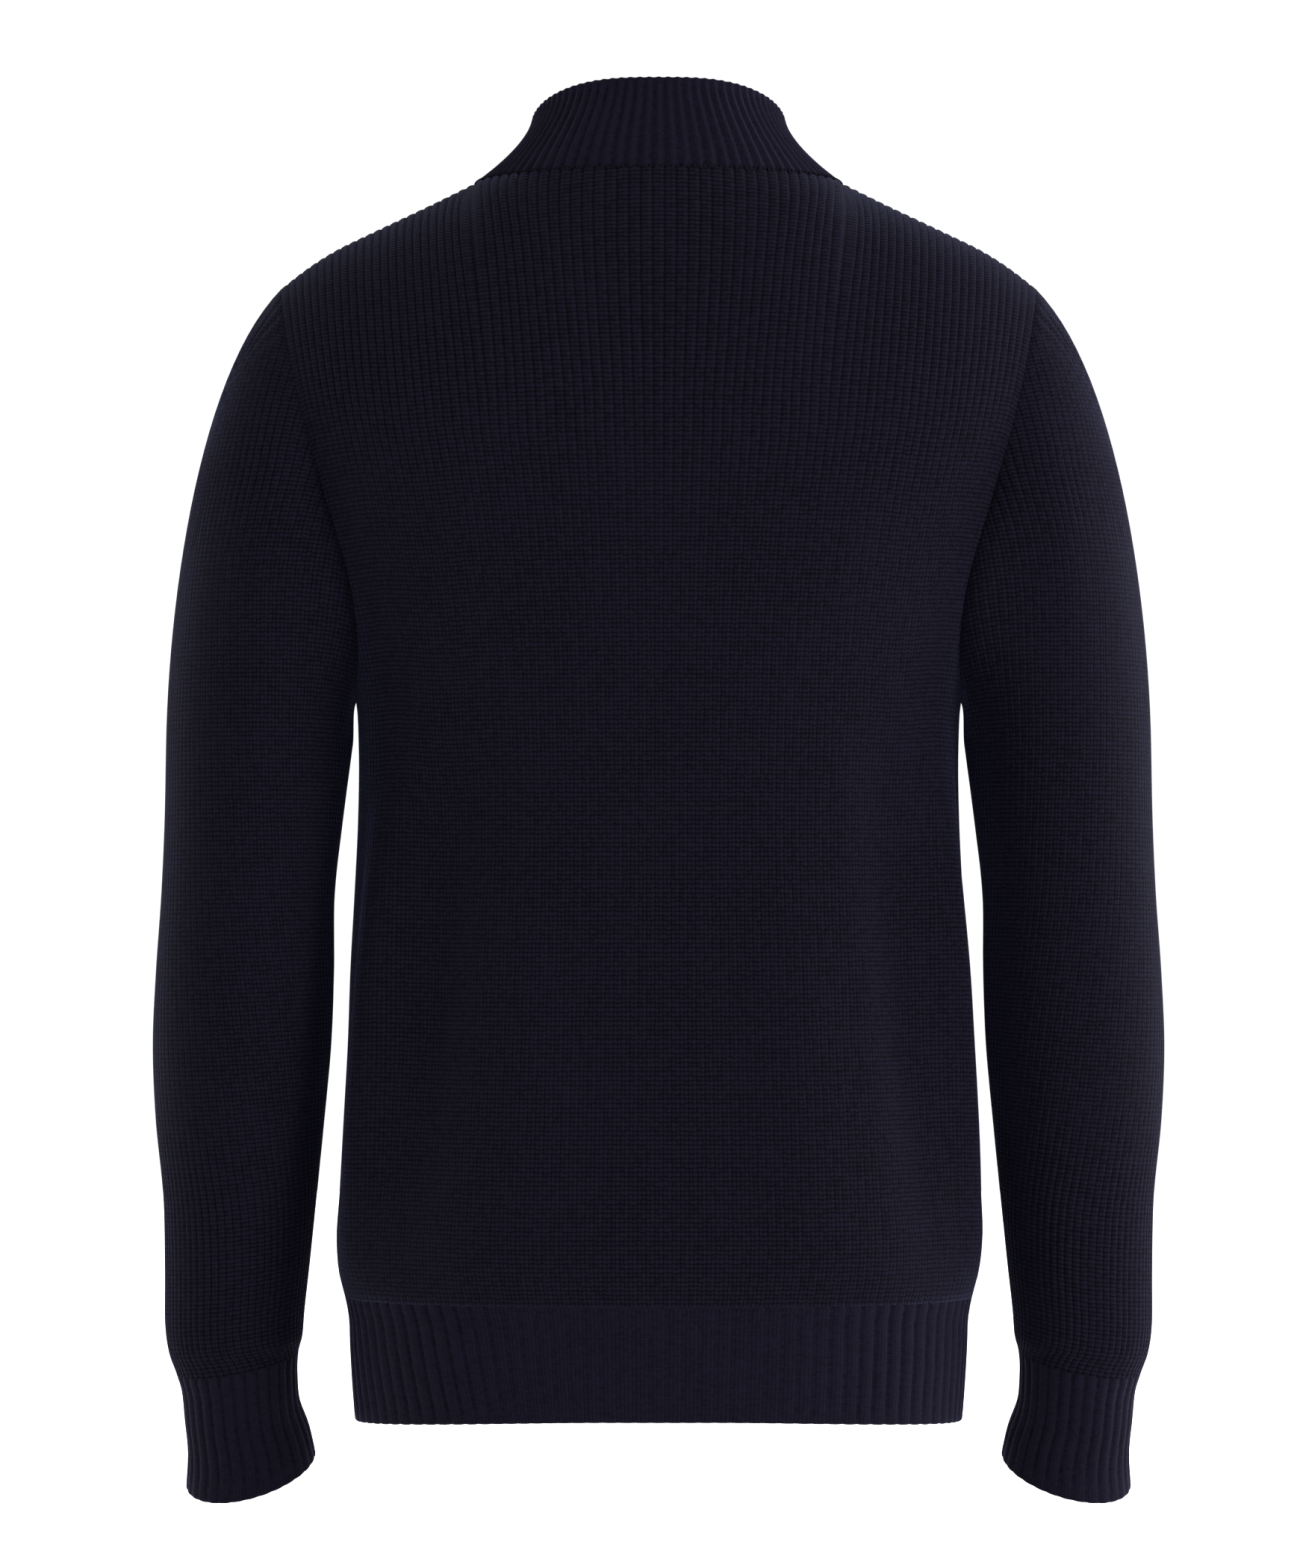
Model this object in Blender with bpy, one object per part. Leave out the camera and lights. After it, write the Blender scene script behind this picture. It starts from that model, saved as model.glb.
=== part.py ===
"""Zip-up rib-knit sweater with a stand collar, in the hollow form that it has when worn.

Metres, +Z up. The wearer faces -Y and their left arm is at +X. The origin is the middle of the neck,
level with the two points where the shoulder seams meet the collar.
Every knitted piece is a wall: an outer grid of points on the garment's form and an inner grid one
cloth thickness inside it. Neighbouring pieces stop a seam gap short of each other.
"""

import math
from collections import namedtuple

import bmesh
import bpy
import numpy as np

# Cloth
WALL = 0.0024
RIB_WALL = 0.0030
RIB_RELIEF = 0.0010
SEAM_GAP = 0.0003

# Heights
COLLAR_BACK_TOP = 0.0540
HEM_TOP = -0.5960
HEM_BOTTOM = -0.6590
HEM_BACK_LIFT = 0.0020  # the hem rides up at the centre back, and dips by HEM_SIDE_DROP towards the sides
HEM_SIDE_DROP = 0.0030
UNDERARM = -0.2780
YOKE = -0.1350

# Neck seam: a ring round the neck, lowest at the centre front
NECK_HALF_WIDTH = 0.0980
NECK_BACK_DEPTH = 0.0720
NECK_FRONT_DEPTH = 0.0880
NECK_BACK_RISE = 0.0048
NECK_FRONT_DROP = 0.0420

# Half a panel's columns, and how many of them end at the neck seam
PANEL_COLUMNS = 14
NECK_COLUMNS = 6
NECK_SHARE = NECK_COLUMNS / PANEL_COLUMNS

# Shoulder seam: a straight slope that rounds off into the sleeve head
SHOULDER_END = 0.2020
SHOULDER_SLOPE = 0.475
SHOULDER_ROUND_START = 0.165
SHOULDER_ROUND_RATE = 5.2

# Armhole
ARMHOLE_BACK_DEPTH = 0.066
ARMHOLE_FRONT_DEPTH = 0.060
ARMHOLE_WIDE_HEIGHT = -0.190

# Collar rim: an ellipse, level at the back, that leans down towards the front
RIM_HALF_WIDTH = 0.0680
RIM_HALF_DEPTH = 0.0600
RIM_CENTRE_Y = -0.0080
RIM_LEAN = 0.402
RIM_EASE = 0.0116

# Zip: distances from its centre line, and depths below the cloth's outer face
ZIP_HALF_GAP = 0.0046
TAPE_INNER_X = 0.0016
TAPE_OUTER_X = 0.0145
TAPE_DEPTH = 0.0035
TAPE_THICKNESS = 0.0010
CHAIN_HALF_WIDTH = 0.0029
CHAIN_DEPTH = 0.00085
CHAIN_THICKNESS = 0.0022
SLIDER_BELOW_RIM = 0.0130
BOX_ABOVE_HEM = 0.0075

# Slider: lengths along the zip run up from its middle
PLATE_HALF_WIDTH = 0.0041
PLATE_HALF_LENGTH = 0.0052
PLATE_FRONT = -0.00075
PLATE_BACK = 0.00045
UNDER_PLATE_FRONT = 0.0048
UNDER_PLATE_BACK = 0.0058
POST_HALF_WIDTH = 0.0012
POST_LOW = 0.0012
BRIDGE_HALF_WIDTH = 0.0008
BRIDGE_INNER = 0.0019
BRIDGE_OUTER = 0.0029
BRIDGE_UNDERSIDE = -0.00295
BRIDGE_FRONT = -0.00385

# Pull tab: swings on the middle of its top bar, which runs under the slider's bridge
TAB_AXIS_DEPTH = -0.00165
TAB_HALF_THICKNESS = 0.00055
TAB_HALF_WIDTH = 0.0032
TAB_SLOT_HALF_WIDTH = 0.00125
TAB_SLOT_END = -0.0046
TAB_HOLE_TOP = -0.0185
TAB_HOLE_BOTTOM = -0.0235
TAB_END = -0.0265

# The girth of the torso is a superellipse of this power
SQUARENESS = 2.4

# Above the underarm the half width is that of the whole girth, which the armhole cuts short
Section = namedtuple("Section", "height half_width back_depth front_depth")
TORSO = (
    Section(-0.659, 0.1626, 0.1050, 0.1060),
    Section(-0.640, 0.1641, 0.1075, 0.1085),
    Section(-0.620, 0.1653, 0.1095, 0.1105),
    Section(-0.605, 0.1660, 0.1105, 0.1115),
    Section(-0.596, 0.1678, 0.1125, 0.1135),
    Section(-0.584, 0.1709, 0.1160, 0.1165),
    Section(-0.566, 0.1724, 0.1180, 0.1185),
    Section(-0.540, 0.1708, 0.1170, 0.1190),
    Section(-0.500, 0.1686, 0.1140, 0.1185),
    Section(-0.460, 0.1664, 0.1110, 0.1180),
    Section(-0.420, 0.1650, 0.1090, 0.1180),
    Section(-0.380, 0.1628, 0.1080, 0.1190),
    Section(-0.340, 0.1609, 0.1090, 0.1210),
    Section(-0.300, 0.1606, 0.1120, 0.1235),
    Section(-0.280, 0.1616, 0.1138, 0.1245),
    Section(-0.260, 0.1656, 0.1155, 0.1250),
    Section(-0.240, 0.1722, 0.1170, 0.1250),
    Section(-0.220, 0.1800, 0.1180, 0.1245),
    Section(-0.200, 0.1880, 0.1185, 0.1230),
    Section(-0.180, 0.1955, 0.1180, 0.1205),
    Section(-0.160, 0.2026, 0.1170, 0.1170),
    Section(-0.135, 0.2115, 0.1150, 0.1120),
)

Ring = namedtuple("Ring", "inner_x inner_z outer_x outer_z middle_y half_depth")
ARM = (
    Ring(0.1638, -0.3010, 0.2638, -0.3010, 0.0000, 0.0640),
    Ring(0.1690, -0.3410, 0.2645, -0.3410, 0.0015, 0.0615),
    Ring(0.1734, -0.3810, 0.2663, -0.3810, 0.0015, 0.0590),
    Ring(0.1738, -0.4210, 0.2692, -0.4210, 0.0000, 0.0570),
    Ring(0.1754, -0.4610, 0.2711, -0.4610, -0.0035, 0.0550),
    Ring(0.1792, -0.5010, 0.2698, -0.5010, -0.0085, 0.0525),
    Ring(0.1834, -0.5410, 0.2661, -0.5420, -0.0145, 0.0495),
    Ring(0.1875, -0.5790, 0.2655, -0.5830, -0.0200, 0.0465),
    Ring(0.1904, -0.6040, 0.2656, -0.6110, -0.0235, 0.0445),
    Ring(0.1916, -0.6180, 0.2636, -0.6270, -0.0255, 0.0430),
    Ring(0.1938, -0.6270, 0.2596, -0.6385, -0.0265, 0.0400),
    Ring(0.1944, -0.6380, 0.2568, -0.6480, -0.0280, 0.0375),
    Ring(0.1932, -0.6540, 0.2554, -0.6630, -0.0300, 0.0360),
    Ring(0.1880, -0.6690, 0.2538, -0.6805, -0.0318, 0.0365),
    Ring(0.1846, -0.6838, 0.2548, -0.7002, -0.0330, 0.0385),
)
SLEEVE_RINGS = 10  # the sleeve ends at this ring of the arm and the cuff begins
CUFF_TILT = 0.27  # how far the cuff's mouth hangs lower behind, for each metre of its depth

Fold = namedtuple("Fold", "arm_side low_girth low_z high_girth high_z half_width depth")
# girth is 0 at the centre back, 1 at the side seam and 2 at the centre front
TORSO_FOLDS = (
    Fold(1, 0.80, -0.588, 0.70, -0.320, 0.13, 0.0060),
    Fold(1, 0.58, -0.588, 0.50, -0.300, 0.17, -0.0065),
    Fold(1, 0.30, -0.585, 0.34, -0.360, 0.18, 0.0030),
    Fold(-1, 0.86, -0.588, 0.74, -0.290, 0.13, 0.0060),
    Fold(-1, 0.66, -0.588, 0.54, -0.290, 0.16, -0.0065),
    Fold(-1, 0.36, -0.585, 0.30, -0.360, 0.18, 0.0030),
    Fold(1, 1.22, -0.588, 1.34, -0.320, 0.15, 0.0055),
    Fold(1, 1.46, -0.588, 1.58, -0.310, 0.16, -0.0055),
    Fold(-1, 1.20, -0.588, 1.30, -0.320, 0.14, 0.0055),
    Fold(-1, 1.42, -0.588, 1.54, -0.310, 0.16, -0.0055),
)

# Grid sizes
HEM_ROWS = 2
COLLAR_ROWS = 4
CUFF_ROWS = 3
ARMHOLE_STEPS = 10
BODY_LOWER_HEIGHTS = (-0.584, -0.566, -0.540, -0.500, -0.455, -0.410, -0.365, -0.325)
HALF_HEM_RIBS = 36
COLLAR_RIBS = 84
CUFF_RIBS = 42
COLUMNS_PER_RIB = 2
ARMHOLE_WARP = 1.25
YOKE_EASE = 0.11
EASE_STEPS = ((-1.5, 0.10), (-0.75, 0.24), (0.0, 0.32), (0.75, 0.24), (1.5, 0.10))
SLEEVE_HEAD_FULLNESS = 0.66, 0.06  # how far the sleeve bulges below the armhole, and how much more at its top
LEAST_LEAVE = 0.42  # how squarely, at least, the sleeve stands off the body at the armhole
DENSE = 160

NAVY_KNIT = (0.0070, 0.0080, 0.0200)
NAVY_TAPE = (0.0060, 0.0065, 0.0150)
GUNMETAL = (0.100, 0.100, 0.110)


# ---------------------------------------------------------------- curves and tables


def column(table, name):
    """One named column of a table as an array."""
    return np.array([getattr(row, name) for row in table])


def through(keys, values, at):
    """A smooth curve through table rows whose keys rise, read at some keys."""
    slopes = np.gradient(values, keys)
    k = np.clip(np.searchsorted(keys, at) - 1, 0, len(keys) - 2)
    span = keys[k + 1] - keys[k]
    t = (at - keys[k]) / span
    return hermite(values[k], slopes[k] * span, values[k + 1], slopes[k + 1] * span, t)


def hermite(start, leave, end, arrive, t):
    """The cubic from start to end with those end tangents."""
    return (
        (2 * t**3 - 3 * t**2 + 1) * start
        + (t**3 - 2 * t**2 + t) * leave
        + (3 * t**2 - 2 * t**3) * end
        + (t**3 - t**2) * arrive
    )


def soft_step(low, high, value):
    """0 below low, 1 above high, smooth between."""
    t = np.clip((value - low) / (high - low), 0, 1)
    return t * t * (3 - 2 * t)


def unit(vectors):
    """Vectors along the last axis, made one metre long."""
    return vectors / np.linalg.norm(vectors, axis=-1, keepdims=True)


def even_points(line, shares):
    """Points at these shares of a polyline's length."""
    steps = np.linalg.norm(np.diff(line, axis=0), axis=1)
    length = np.concatenate([[0], np.cumsum(steps)])
    return np.stack([np.interp(shares * length[-1], length, line[:, k]) for k in range(3)], axis=1)


# ---------------------------------------------------------------- torso form


def armhole_depth(z, widest):
    """How far the armhole's edge lies behind or before the side seam at a height: 0 at the underarm."""
    drop = np.clip((ARMHOLE_WIDE_HEIGHT - z) / (ARMHOLE_WIDE_HEIGHT - UNDERARM), 0, 1)
    return widest * math.sqrt(max(0.0, 1 - drop**2))


def girth_line(z, facing):
    """A dense half girth at one height, from the panel's centre to its left edge. facing is 1 at the back."""
    keys = column(TORSO, "height")
    depth = through(keys, column(TORSO, "back_depth" if facing > 0 else "front_depth"), z)
    reach = through(keys, column(TORSO, "half_width"), z)
    edge_y = armhole_depth(z, ARMHOLE_BACK_DEPTH if facing > 0 else ARMHOLE_FRONT_DEPTH)
    last = math.acos((edge_y / depth) ** (SQUARENESS / 2))
    angle = np.linspace(0, last, DENSE)
    x = reach * np.sin(angle) ** (2 / SQUARENESS)
    y = facing * depth * np.clip(np.cos(angle), 0, 1) ** (2 / SQUARENESS)
    return np.stack([x, y, np.full(DENSE, z)], axis=1)


def shoulder_height(x):
    """Height of the shoulder seam at a distance from the middle."""
    past = np.clip(x - SHOULDER_ROUND_START, 0, None)
    return -SHOULDER_SLOPE * (x - NECK_HALF_WIDTH) - SHOULDER_ROUND_RATE * past**2


def neck_seam(turn, facing):
    """The neck seam: turn is 0 at the panel's centre and a quarter turn at the shoulder seam."""
    depth = NECK_BACK_DEPTH if facing > 0 else NECK_FRONT_DEPTH
    rise = NECK_BACK_RISE if facing > 0 else -NECK_FRONT_DROP
    power = 1.0 if facing > 0 else 1.5
    x = NECK_HALF_WIDTH * np.sin(turn)
    y = facing * depth * np.cos(turn)
    return np.stack([x, y, rise * np.clip(np.cos(turn), 0, 1) ** power], axis=-1)


def top_edge(share, facing):
    """The panel's top edge: neck seam, then shoulder seam. share runs from the centre to the armhole."""
    neck = neck_seam(np.clip(share / NECK_SHARE, 0, 1) * math.pi / 2, facing)
    along = np.clip((share - NECK_SHARE) / (1 - NECK_SHARE), 0, 1)
    x = NECK_HALF_WIDTH + along * (SHOULDER_END - NECK_HALF_WIDTH)
    shoulder = np.stack([x, np.zeros_like(x), shoulder_height(x)], axis=-1)
    return np.where((share <= NECK_SHARE)[:, None], neck, shoulder)


def top_direction(share, facing):
    """Which way a rib arrives at the top edge: up the neck, and over the shoulder."""
    up = np.array([0.0, -0.42 * facing, 0.91]) if facing > 0 else np.array([0.0, 0.37, 0.93])
    corner = np.array([-0.12, -0.98 * facing, 0.12])
    over = np.array([0.0, -1.0 * facing, 0.0])
    to_corner = soft_step(0.1 * NECK_SHARE, 0.95 * NECK_SHARE, share)[:, None]
    to_over = soft_step(NECK_SHARE, NECK_SHARE + 0.28, share)[:, None]
    return unit((up * (1 - to_corner) + corner * to_corner) * (1 - to_over) + over * to_over)


def section_row(z, shares, facing):
    """Points across a panel at one height."""
    return even_points(girth_line(z, facing), shares)


def yoke_row(climb, shares, facing):
    """Points across a panel in the yoke, eased sideways halfway up so that the neck's corner leaves no dent."""
    spread = YOKE_EASE * 4 * climb * (1 - climb) * (1 - shares**3)
    total = 0
    for step, weight in EASE_STEPS:
        at = shares + step * spread
        points = yoke_curves(climb, np.abs(at), facing)
        points[:, 0] *= np.where(at < 0, -1, 1)
        total = total + weight * points
    return total


def yoke_curves(climb, shares, facing):
    """Points across a panel in the yoke. climb is 0 at the yoke's foot and 1 at the top edge."""
    foot = section_row(YOKE, shares, facing)
    below = section_row(YOKE - 0.01, shares, facing)
    top = top_edge(shares, facing)
    chord = np.linalg.norm(top - foot, axis=1, keepdims=True)
    leave = unit(foot - below) * chord * 1.08
    arrive = top_direction(shares, facing) * chord * 1.08
    return hermite(foot, leave, top, arrive, climb)


def armhole_line(facing):
    """The armhole's edge from the underarm to the shoulder: dense points, and each one's row key.

    A key from 0 to 1 is a height between underarm and yoke, and from 1 to 2 a climb up the yoke."""
    edge = np.array([1.0])
    keys = np.concatenate([1 - np.linspace(1, 0, DENSE) ** 2, 1 + np.linspace(0, 1, DENSE)[1:]])
    keys[:DENSE] = np.linspace(0, 1, DENSE) ** 2
    return np.concatenate([panel_row(key, edge, facing) for key in keys]), keys


def panel_row(key, shares, facing):
    """Points across a panel at a row key: 0 at the underarm, 1 at the yoke's foot, 2 at the top edge."""
    if key <= 1:
        return section_row(UNDERARM + key * (YOKE - UNDERARM), shares, facing)
    return yoke_row(key - 1, shares, facing)


def armhole_keys(steps, facing):
    """Row keys that cut the armhole's edge as the sleeve's columns meet it, from the underarm up."""
    line, keys = armhole_line(facing)
    lengths = np.concatenate([[0], np.cumsum(np.linalg.norm(np.diff(line, axis=0), axis=1))])
    from_top = (np.arange(steps, -1, -1) / steps) ** ARMHOLE_WARP
    return np.interp((1 - from_top) * lengths[-1], lengths, keys)


def torso_fold(girth, z, arm_side):
    """How far the large folds push the cloth out at a place on the torso."""
    push = np.zeros_like(girth)
    for fold in TORSO_FOLDS:
        if fold.arm_side != arm_side:
            continue
        along = np.clip((z - fold.low_z) / (fold.high_z - fold.low_z), 0, 1)
        centre = fold.low_girth + along * (fold.high_girth - fold.low_girth)
        across = np.clip(np.abs(girth - centre) / fold.half_width, 0, 1)
        push += fold.depth * np.cos(across * math.pi / 2) ** 2 * np.sin(along * math.pi) ** 0.7
    return push


def half_panel(rows, shares, facing, arm_side):
    """The outer grid of half a panel, rows by columns, from the centre to the edge of one arm's side."""
    grid = np.stack(rows)
    grid[..., 0] *= arm_side
    out = grid_normals(grid) * facing * arm_side
    girth = shares if facing > 0 else 2 - shares
    push = torso_fold(np.broadcast_to(girth, grid.shape[:2]), grid[..., 2], arm_side)
    return grid + out * push[..., None]


def grid_normals(grid):
    """Unit normals of a grid of points: across its rows, turned towards rising columns."""
    along = np.gradient(grid, axis=0)
    across = np.gradient(grid, axis=1)
    return unit(np.cross(along, across))


# ---------------------------------------------------------------- arm form


def arm_rows():
    """The arm's rings as arrays, keyed by their number."""
    return {name: column(ARM, name) for name in Ring._fields}


def arm_ring(number, turns):
    """Points round the left arm at a ring number, which may lie between two. Turn 0 is outermost, then back."""
    keys = np.arange(len(ARM), dtype=float)
    at = {name: through(keys, values, number) for name, values in arm_rows().items()}
    inner = np.array([at["inner_x"], at["middle_y"], at["inner_z"]])
    outer = np.array([at["outer_x"], at["middle_y"], at["outer_z"]])
    middle = (inner + outer) / 2
    step = 0.01
    y_slope = (through(keys, arm_rows()["middle_y"], number) - through(keys, arm_rows()["middle_y"], number - step)) / step
    z_slope = (through(keys, arm_rows()["outer_z"], number) - through(keys, arm_rows()["outer_z"], number - step)) / step
    tilt = y_slope / z_slope + CUFF_TILT * soft_step(SLEEVE_RINGS, len(ARM) - 1, number)
    back = np.array([0, at["half_depth"], -at["half_depth"] * tilt])
    return middle + np.cos(turns)[:, None] * (outer - middle) + np.sin(turns)[:, None] * back


def armhole_ring(steps):
    """The armhole's edge as one ring of the left sleeve's columns, in the order of arm_ring's turns."""
    edge = np.array([1.0])
    back = np.concatenate([panel_row(key, edge, 1) for key in armhole_keys(steps, 1)])
    front = np.concatenate([panel_row(key, edge, -1) for key in armhole_keys(steps, -1)])
    back[:, 1] += SEAM_GAP / 2
    front[:, 1] -= SEAM_GAP / 2
    back[0], back[-1] = (back[0] + front[0]) / 2, (back[-1] + front[-1]) / 2
    return np.concatenate([back[::-1], front[1:-1]])


def armhole_normals(steps):
    """The body's outward normals on the armhole's edge, in the order of arm_ring's turns."""
    shares = np.array([0.94, 0.97, 1.0])
    back = np.concatenate([panel_row(key, shares, 1)[None] for key in armhole_keys(steps, 1)])
    front = np.concatenate([panel_row(key, shares, -1)[None] for key in armhole_keys(steps, -1)])
    back_out = grid_normals(back)[:, -1]
    front_out = -grid_normals(front)[:, -1]
    back_out[0] = unit(back_out[0] + front_out[0])
    back_out[-1] = unit(back_out[-1] + front_out[-1])
    return np.concatenate([back_out[::-1], front_out[1:-1]])


def sleeve_head(steps, shares):
    """Rings of the left sleeve from the armhole to the arm's first ring."""
    turns = np.arange(2 * steps) * math.pi / steps
    start = armhole_ring(steps)
    end = arm_ring(0.0, turns)
    chord = np.linalg.norm(end - start, axis=1, keepdims=True)
    top = ((1 + np.cos(turns)) / 2)[:, None] ** 1.5
    bottom = ((1 - np.cos(turns)) / 2)[:, None] ** 1.5
    side = (np.sin(turns) ** 2)[:, None]
    level = np.zeros_like(turns)
    sideways = np.stack([level + 0.58, 0.42 * np.sign(np.sin(turns)), level - 0.70], axis=1)
    leave = unit(top * np.array([0.70, 0, -0.714]) + bottom * np.array([0.50, 0, -0.87]) + side * sideways)
    body_out = armhole_normals(steps)
    leaning_out = np.sum(leave * body_out, axis=1, keepdims=True)
    leave = unit(leave + body_out * np.clip(LEAST_LEAVE - leaning_out, 0, None) * np.sqrt(bottom))
    down = unit(arm_ring(0.2, turns) - end)
    start = start + leave * SEAM_GAP * 1.4 + body_out * SEAM_GAP * 0.5
    bulge = leave * chord * (SLEEVE_HEAD_FULLNESS[0] + SLEEVE_HEAD_FULLNESS[1] * top)
    return np.stack([hermite(start, bulge, end, down * chord, t) for t in shares])


# ---------------------------------------------------------------- walls


def inward(grid, normals, thickness):
    """The inner grid of a wall."""
    return grid - normals * thickness


def flattened(normals, where, axis):
    """Normals whose part along an axis is taken out on one edge, so that the seam face stays in its plane."""
    normals = normals.copy()
    edge = normals[where]
    edge[..., axis] = 0
    normals[where] = unit(edge)
    return normals


def stitch(first, second):
    """Triangles between two lines of point numbers of any lengths that run side by side."""
    faces = []
    i = j = 0
    while i < len(first) - 1 or j < len(second) - 1:
        next_i = (i + 1) / max(len(first) - 1, 1)
        next_j = (j + 1) / max(len(second) - 1, 1)
        if j == len(second) - 1 or (i < len(first) - 1 and next_i <= next_j):
            faces.append((first[i], first[i + 1], second[j]))
            i += 1
        else:
            faces.append((first[i], second[j + 1], second[j]))
            j += 1
    return faces


def grid_faces(numbers, flip):
    """Quads of a grid of point numbers."""
    faces = []
    for row, above in zip(numbers[:-1], numbers[1:]):
        for k in range(len(row) - 1):
            quad = (row[k], row[k + 1], above[k + 1], above[k])
            faces.append(quad[::-1] if flip else quad)
    return faces


def wall_object(name, outer, inner, material, ring=False):
    """A closed wall between an outer and an inner grid, rows by columns, which may differ in size.

    A ring's rows close on themselves. Faces are turned to point out afterwards."""
    points = np.concatenate([outer.reshape(-1, 3), inner.reshape(-1, 3)])
    outer_numbers = np.arange(outer.shape[0] * outer.shape[1]).reshape(outer.shape[:2])
    inner_numbers = outer_numbers.size + np.arange(inner.shape[0] * inner.shape[1]).reshape(inner.shape[:2])
    if ring:
        outer_numbers = np.concatenate([outer_numbers, outer_numbers[:, :1]], axis=1)
        inner_numbers = np.concatenate([inner_numbers, inner_numbers[:, :1]], axis=1)
    faces = grid_faces(outer_numbers.tolist(), False) + grid_faces(inner_numbers.tolist(), True)
    faces += stitch(outer_numbers[0].tolist(), inner_numbers[0].tolist())
    faces += stitch(outer_numbers[-1].tolist(), inner_numbers[-1].tolist())
    if not ring:
        faces += stitch(outer_numbers[:, 0].tolist(), inner_numbers[:, 0].tolist())
        faces += stitch(outer_numbers[:, -1].tolist(), inner_numbers[:, -1].tolist())
    mesh = bpy.data.meshes.new(name)
    mesh.from_pydata([tuple(p) for p in points], [], faces)
    return finished(name, mesh, material)


def finished(name, mesh, material):
    """An object of a mesh whose faces are turned outwards, with its material, in the garment's collection."""
    sheet = bmesh.new()
    sheet.from_mesh(mesh)
    bmesh.ops.recalc_face_normals(sheet, faces=sheet.faces)
    if sheet.calc_volume(signed=True) < 0:
        bmesh.ops.reverse_faces(sheet, faces=sheet.faces)
    sheet.to_mesh(mesh)
    sheet.free()
    mesh.shade_smooth()
    mesh.set_sharp_from_angle(angle=math.radians(30))
    mesh.materials.append(material)
    made = bpy.data.objects.new(name, mesh)
    garment_collection().objects.link(made)
    return made


def garment_collection():
    """The collection that holds the garment's pieces."""
    found = bpy.data.collections.get("zip_up_sweater")
    if found is None:
        found = bpy.data.collections.new("zip_up_sweater")
        bpy.context.scene.collection.children.link(found)
    return found


def plain_material(name, colour, roughness, metallic=0.0):
    """A Principled material."""
    made = bpy.data.materials.new(name)
    made.use_nodes = True
    shader = made.node_tree.nodes["Principled BSDF"]
    shader.inputs["Base Color"].default_value = (*colour, 1)
    shader.inputs["Roughness"].default_value = roughness
    shader.inputs["Metallic"].default_value = metallic
    return made


# ---------------------------------------------------------------- body panels


def body_rows(shares, facing):
    """Half-panel rows from just above the hem band to the top edge."""
    heights = (HEM_TOP + SEAM_GAP / 2, *BODY_LOWER_HEIGHTS)
    low = [section_row(z, shares, facing) for z in heights]
    high = [panel_row(key, shares, facing) for key in armhole_keys(ARMHOLE_STEPS, facing)]
    return low + high


def zip_edge(grid, shares, arm_side):
    """The grid moved aside so that its centre edge leaves room for the zip."""
    grid = grid.copy()
    grid[..., 0] += arm_side * ZIP_HALF_GAP * np.clip(1 - shares / NECK_SHARE, 0, 1)
    return grid


def back_panel(cloth):
    """The back, from armhole to armhole, in one piece."""
    shares = np.linspace(0, 1, PANEL_COLUMNS + 1)
    left, right = (half_panel(body_rows(shares, 1), shares, 1, side) for side in (1, -1))
    outer = np.concatenate([right[:, :0:-1], left], axis=1)
    outer[..., 1] += SEAM_GAP / 2
    normals = grid_normals(outer)
    normals = seam_normals(normals, (slice(None), 0), (slice(None), -1))
    wall_object("back", outer, inward(outer, normals, WALL), cloth)


def seam_normals(normals, *side_edges):
    """Normals kept in the seam planes: level at the hem band, and square to the side and shoulder seams."""
    normals = flattened(normals, 0, 2)
    below_arm = len(BODY_LOWER_HEIGHTS) + 2
    for rows, edge in side_edges:
        normals = flattened(normals, (slice(0, below_arm), edge), 1)
    first_shoulder = int(math.ceil(NECK_SHARE * PANEL_COLUMNS))
    middle = normals.shape[1] // 2 if normals.shape[1] > PANEL_COLUMNS + 1 else None
    for k in range(normals.shape[1]):
        from_centre = abs(k - middle) if middle is not None else k
        if from_centre >= first_shoulder:
            normals = flattened(normals, (-1, k), 1)
    return normals


def front_grid(arm_side):
    """The outer grid of one front."""
    shares = np.linspace(0, 1, PANEL_COLUMNS + 1)
    outer = zip_edge(half_panel(body_rows(shares, -1), shares, -1, arm_side), shares, arm_side)
    outer[..., 1] -= SEAM_GAP / 2
    return outer


def front_panel(name, arm_side, cloth):
    """One front, from the zip to the side."""
    outer = front_grid(arm_side)
    normals = grid_normals(outer) * -arm_side
    normals = flattened(normals, (slice(None), 0), 0)
    normals = seam_normals(normals, (slice(None), -1))
    wall_object(name, outer, inward(outer, normals, WALL), cloth)


# ---------------------------------------------------------------- rib bands


def ribbed(outer, normals):
    """The grid with every second column sunk, so that crests and troughs alternate."""
    sunk = np.arange(outer.shape[1]) % COLUMNS_PER_RIB != 0
    return outer - normals * (RIB_RELIEF * sunk)[None, :, None]


def plain_inside(outer, normals, every):
    """The inner grid of a ribbed wall, on every few of its columns."""
    return inward(outer, normals, RIB_WALL)[:, ::every]


def hem_rows(shares, facing):
    """Half-girth rows of the hem band."""
    heights = np.linspace(HEM_BOTTOM, HEM_TOP - SEAM_GAP / 2, HEM_ROWS + 1)
    rows = [section_row(z, shares, facing) for z in heights]
    dip = HEM_SIDE_DROP - (HEM_BACK_LIFT + HEM_SIDE_DROP) * (1 - soft_step(0.1, 1, shares)) * (facing > 0)
    for row, z in zip(rows, heights):
        row[:, 2] -= dip * (HEM_TOP - z) / (HEM_TOP - HEM_BOTTOM)
    return rows


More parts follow.
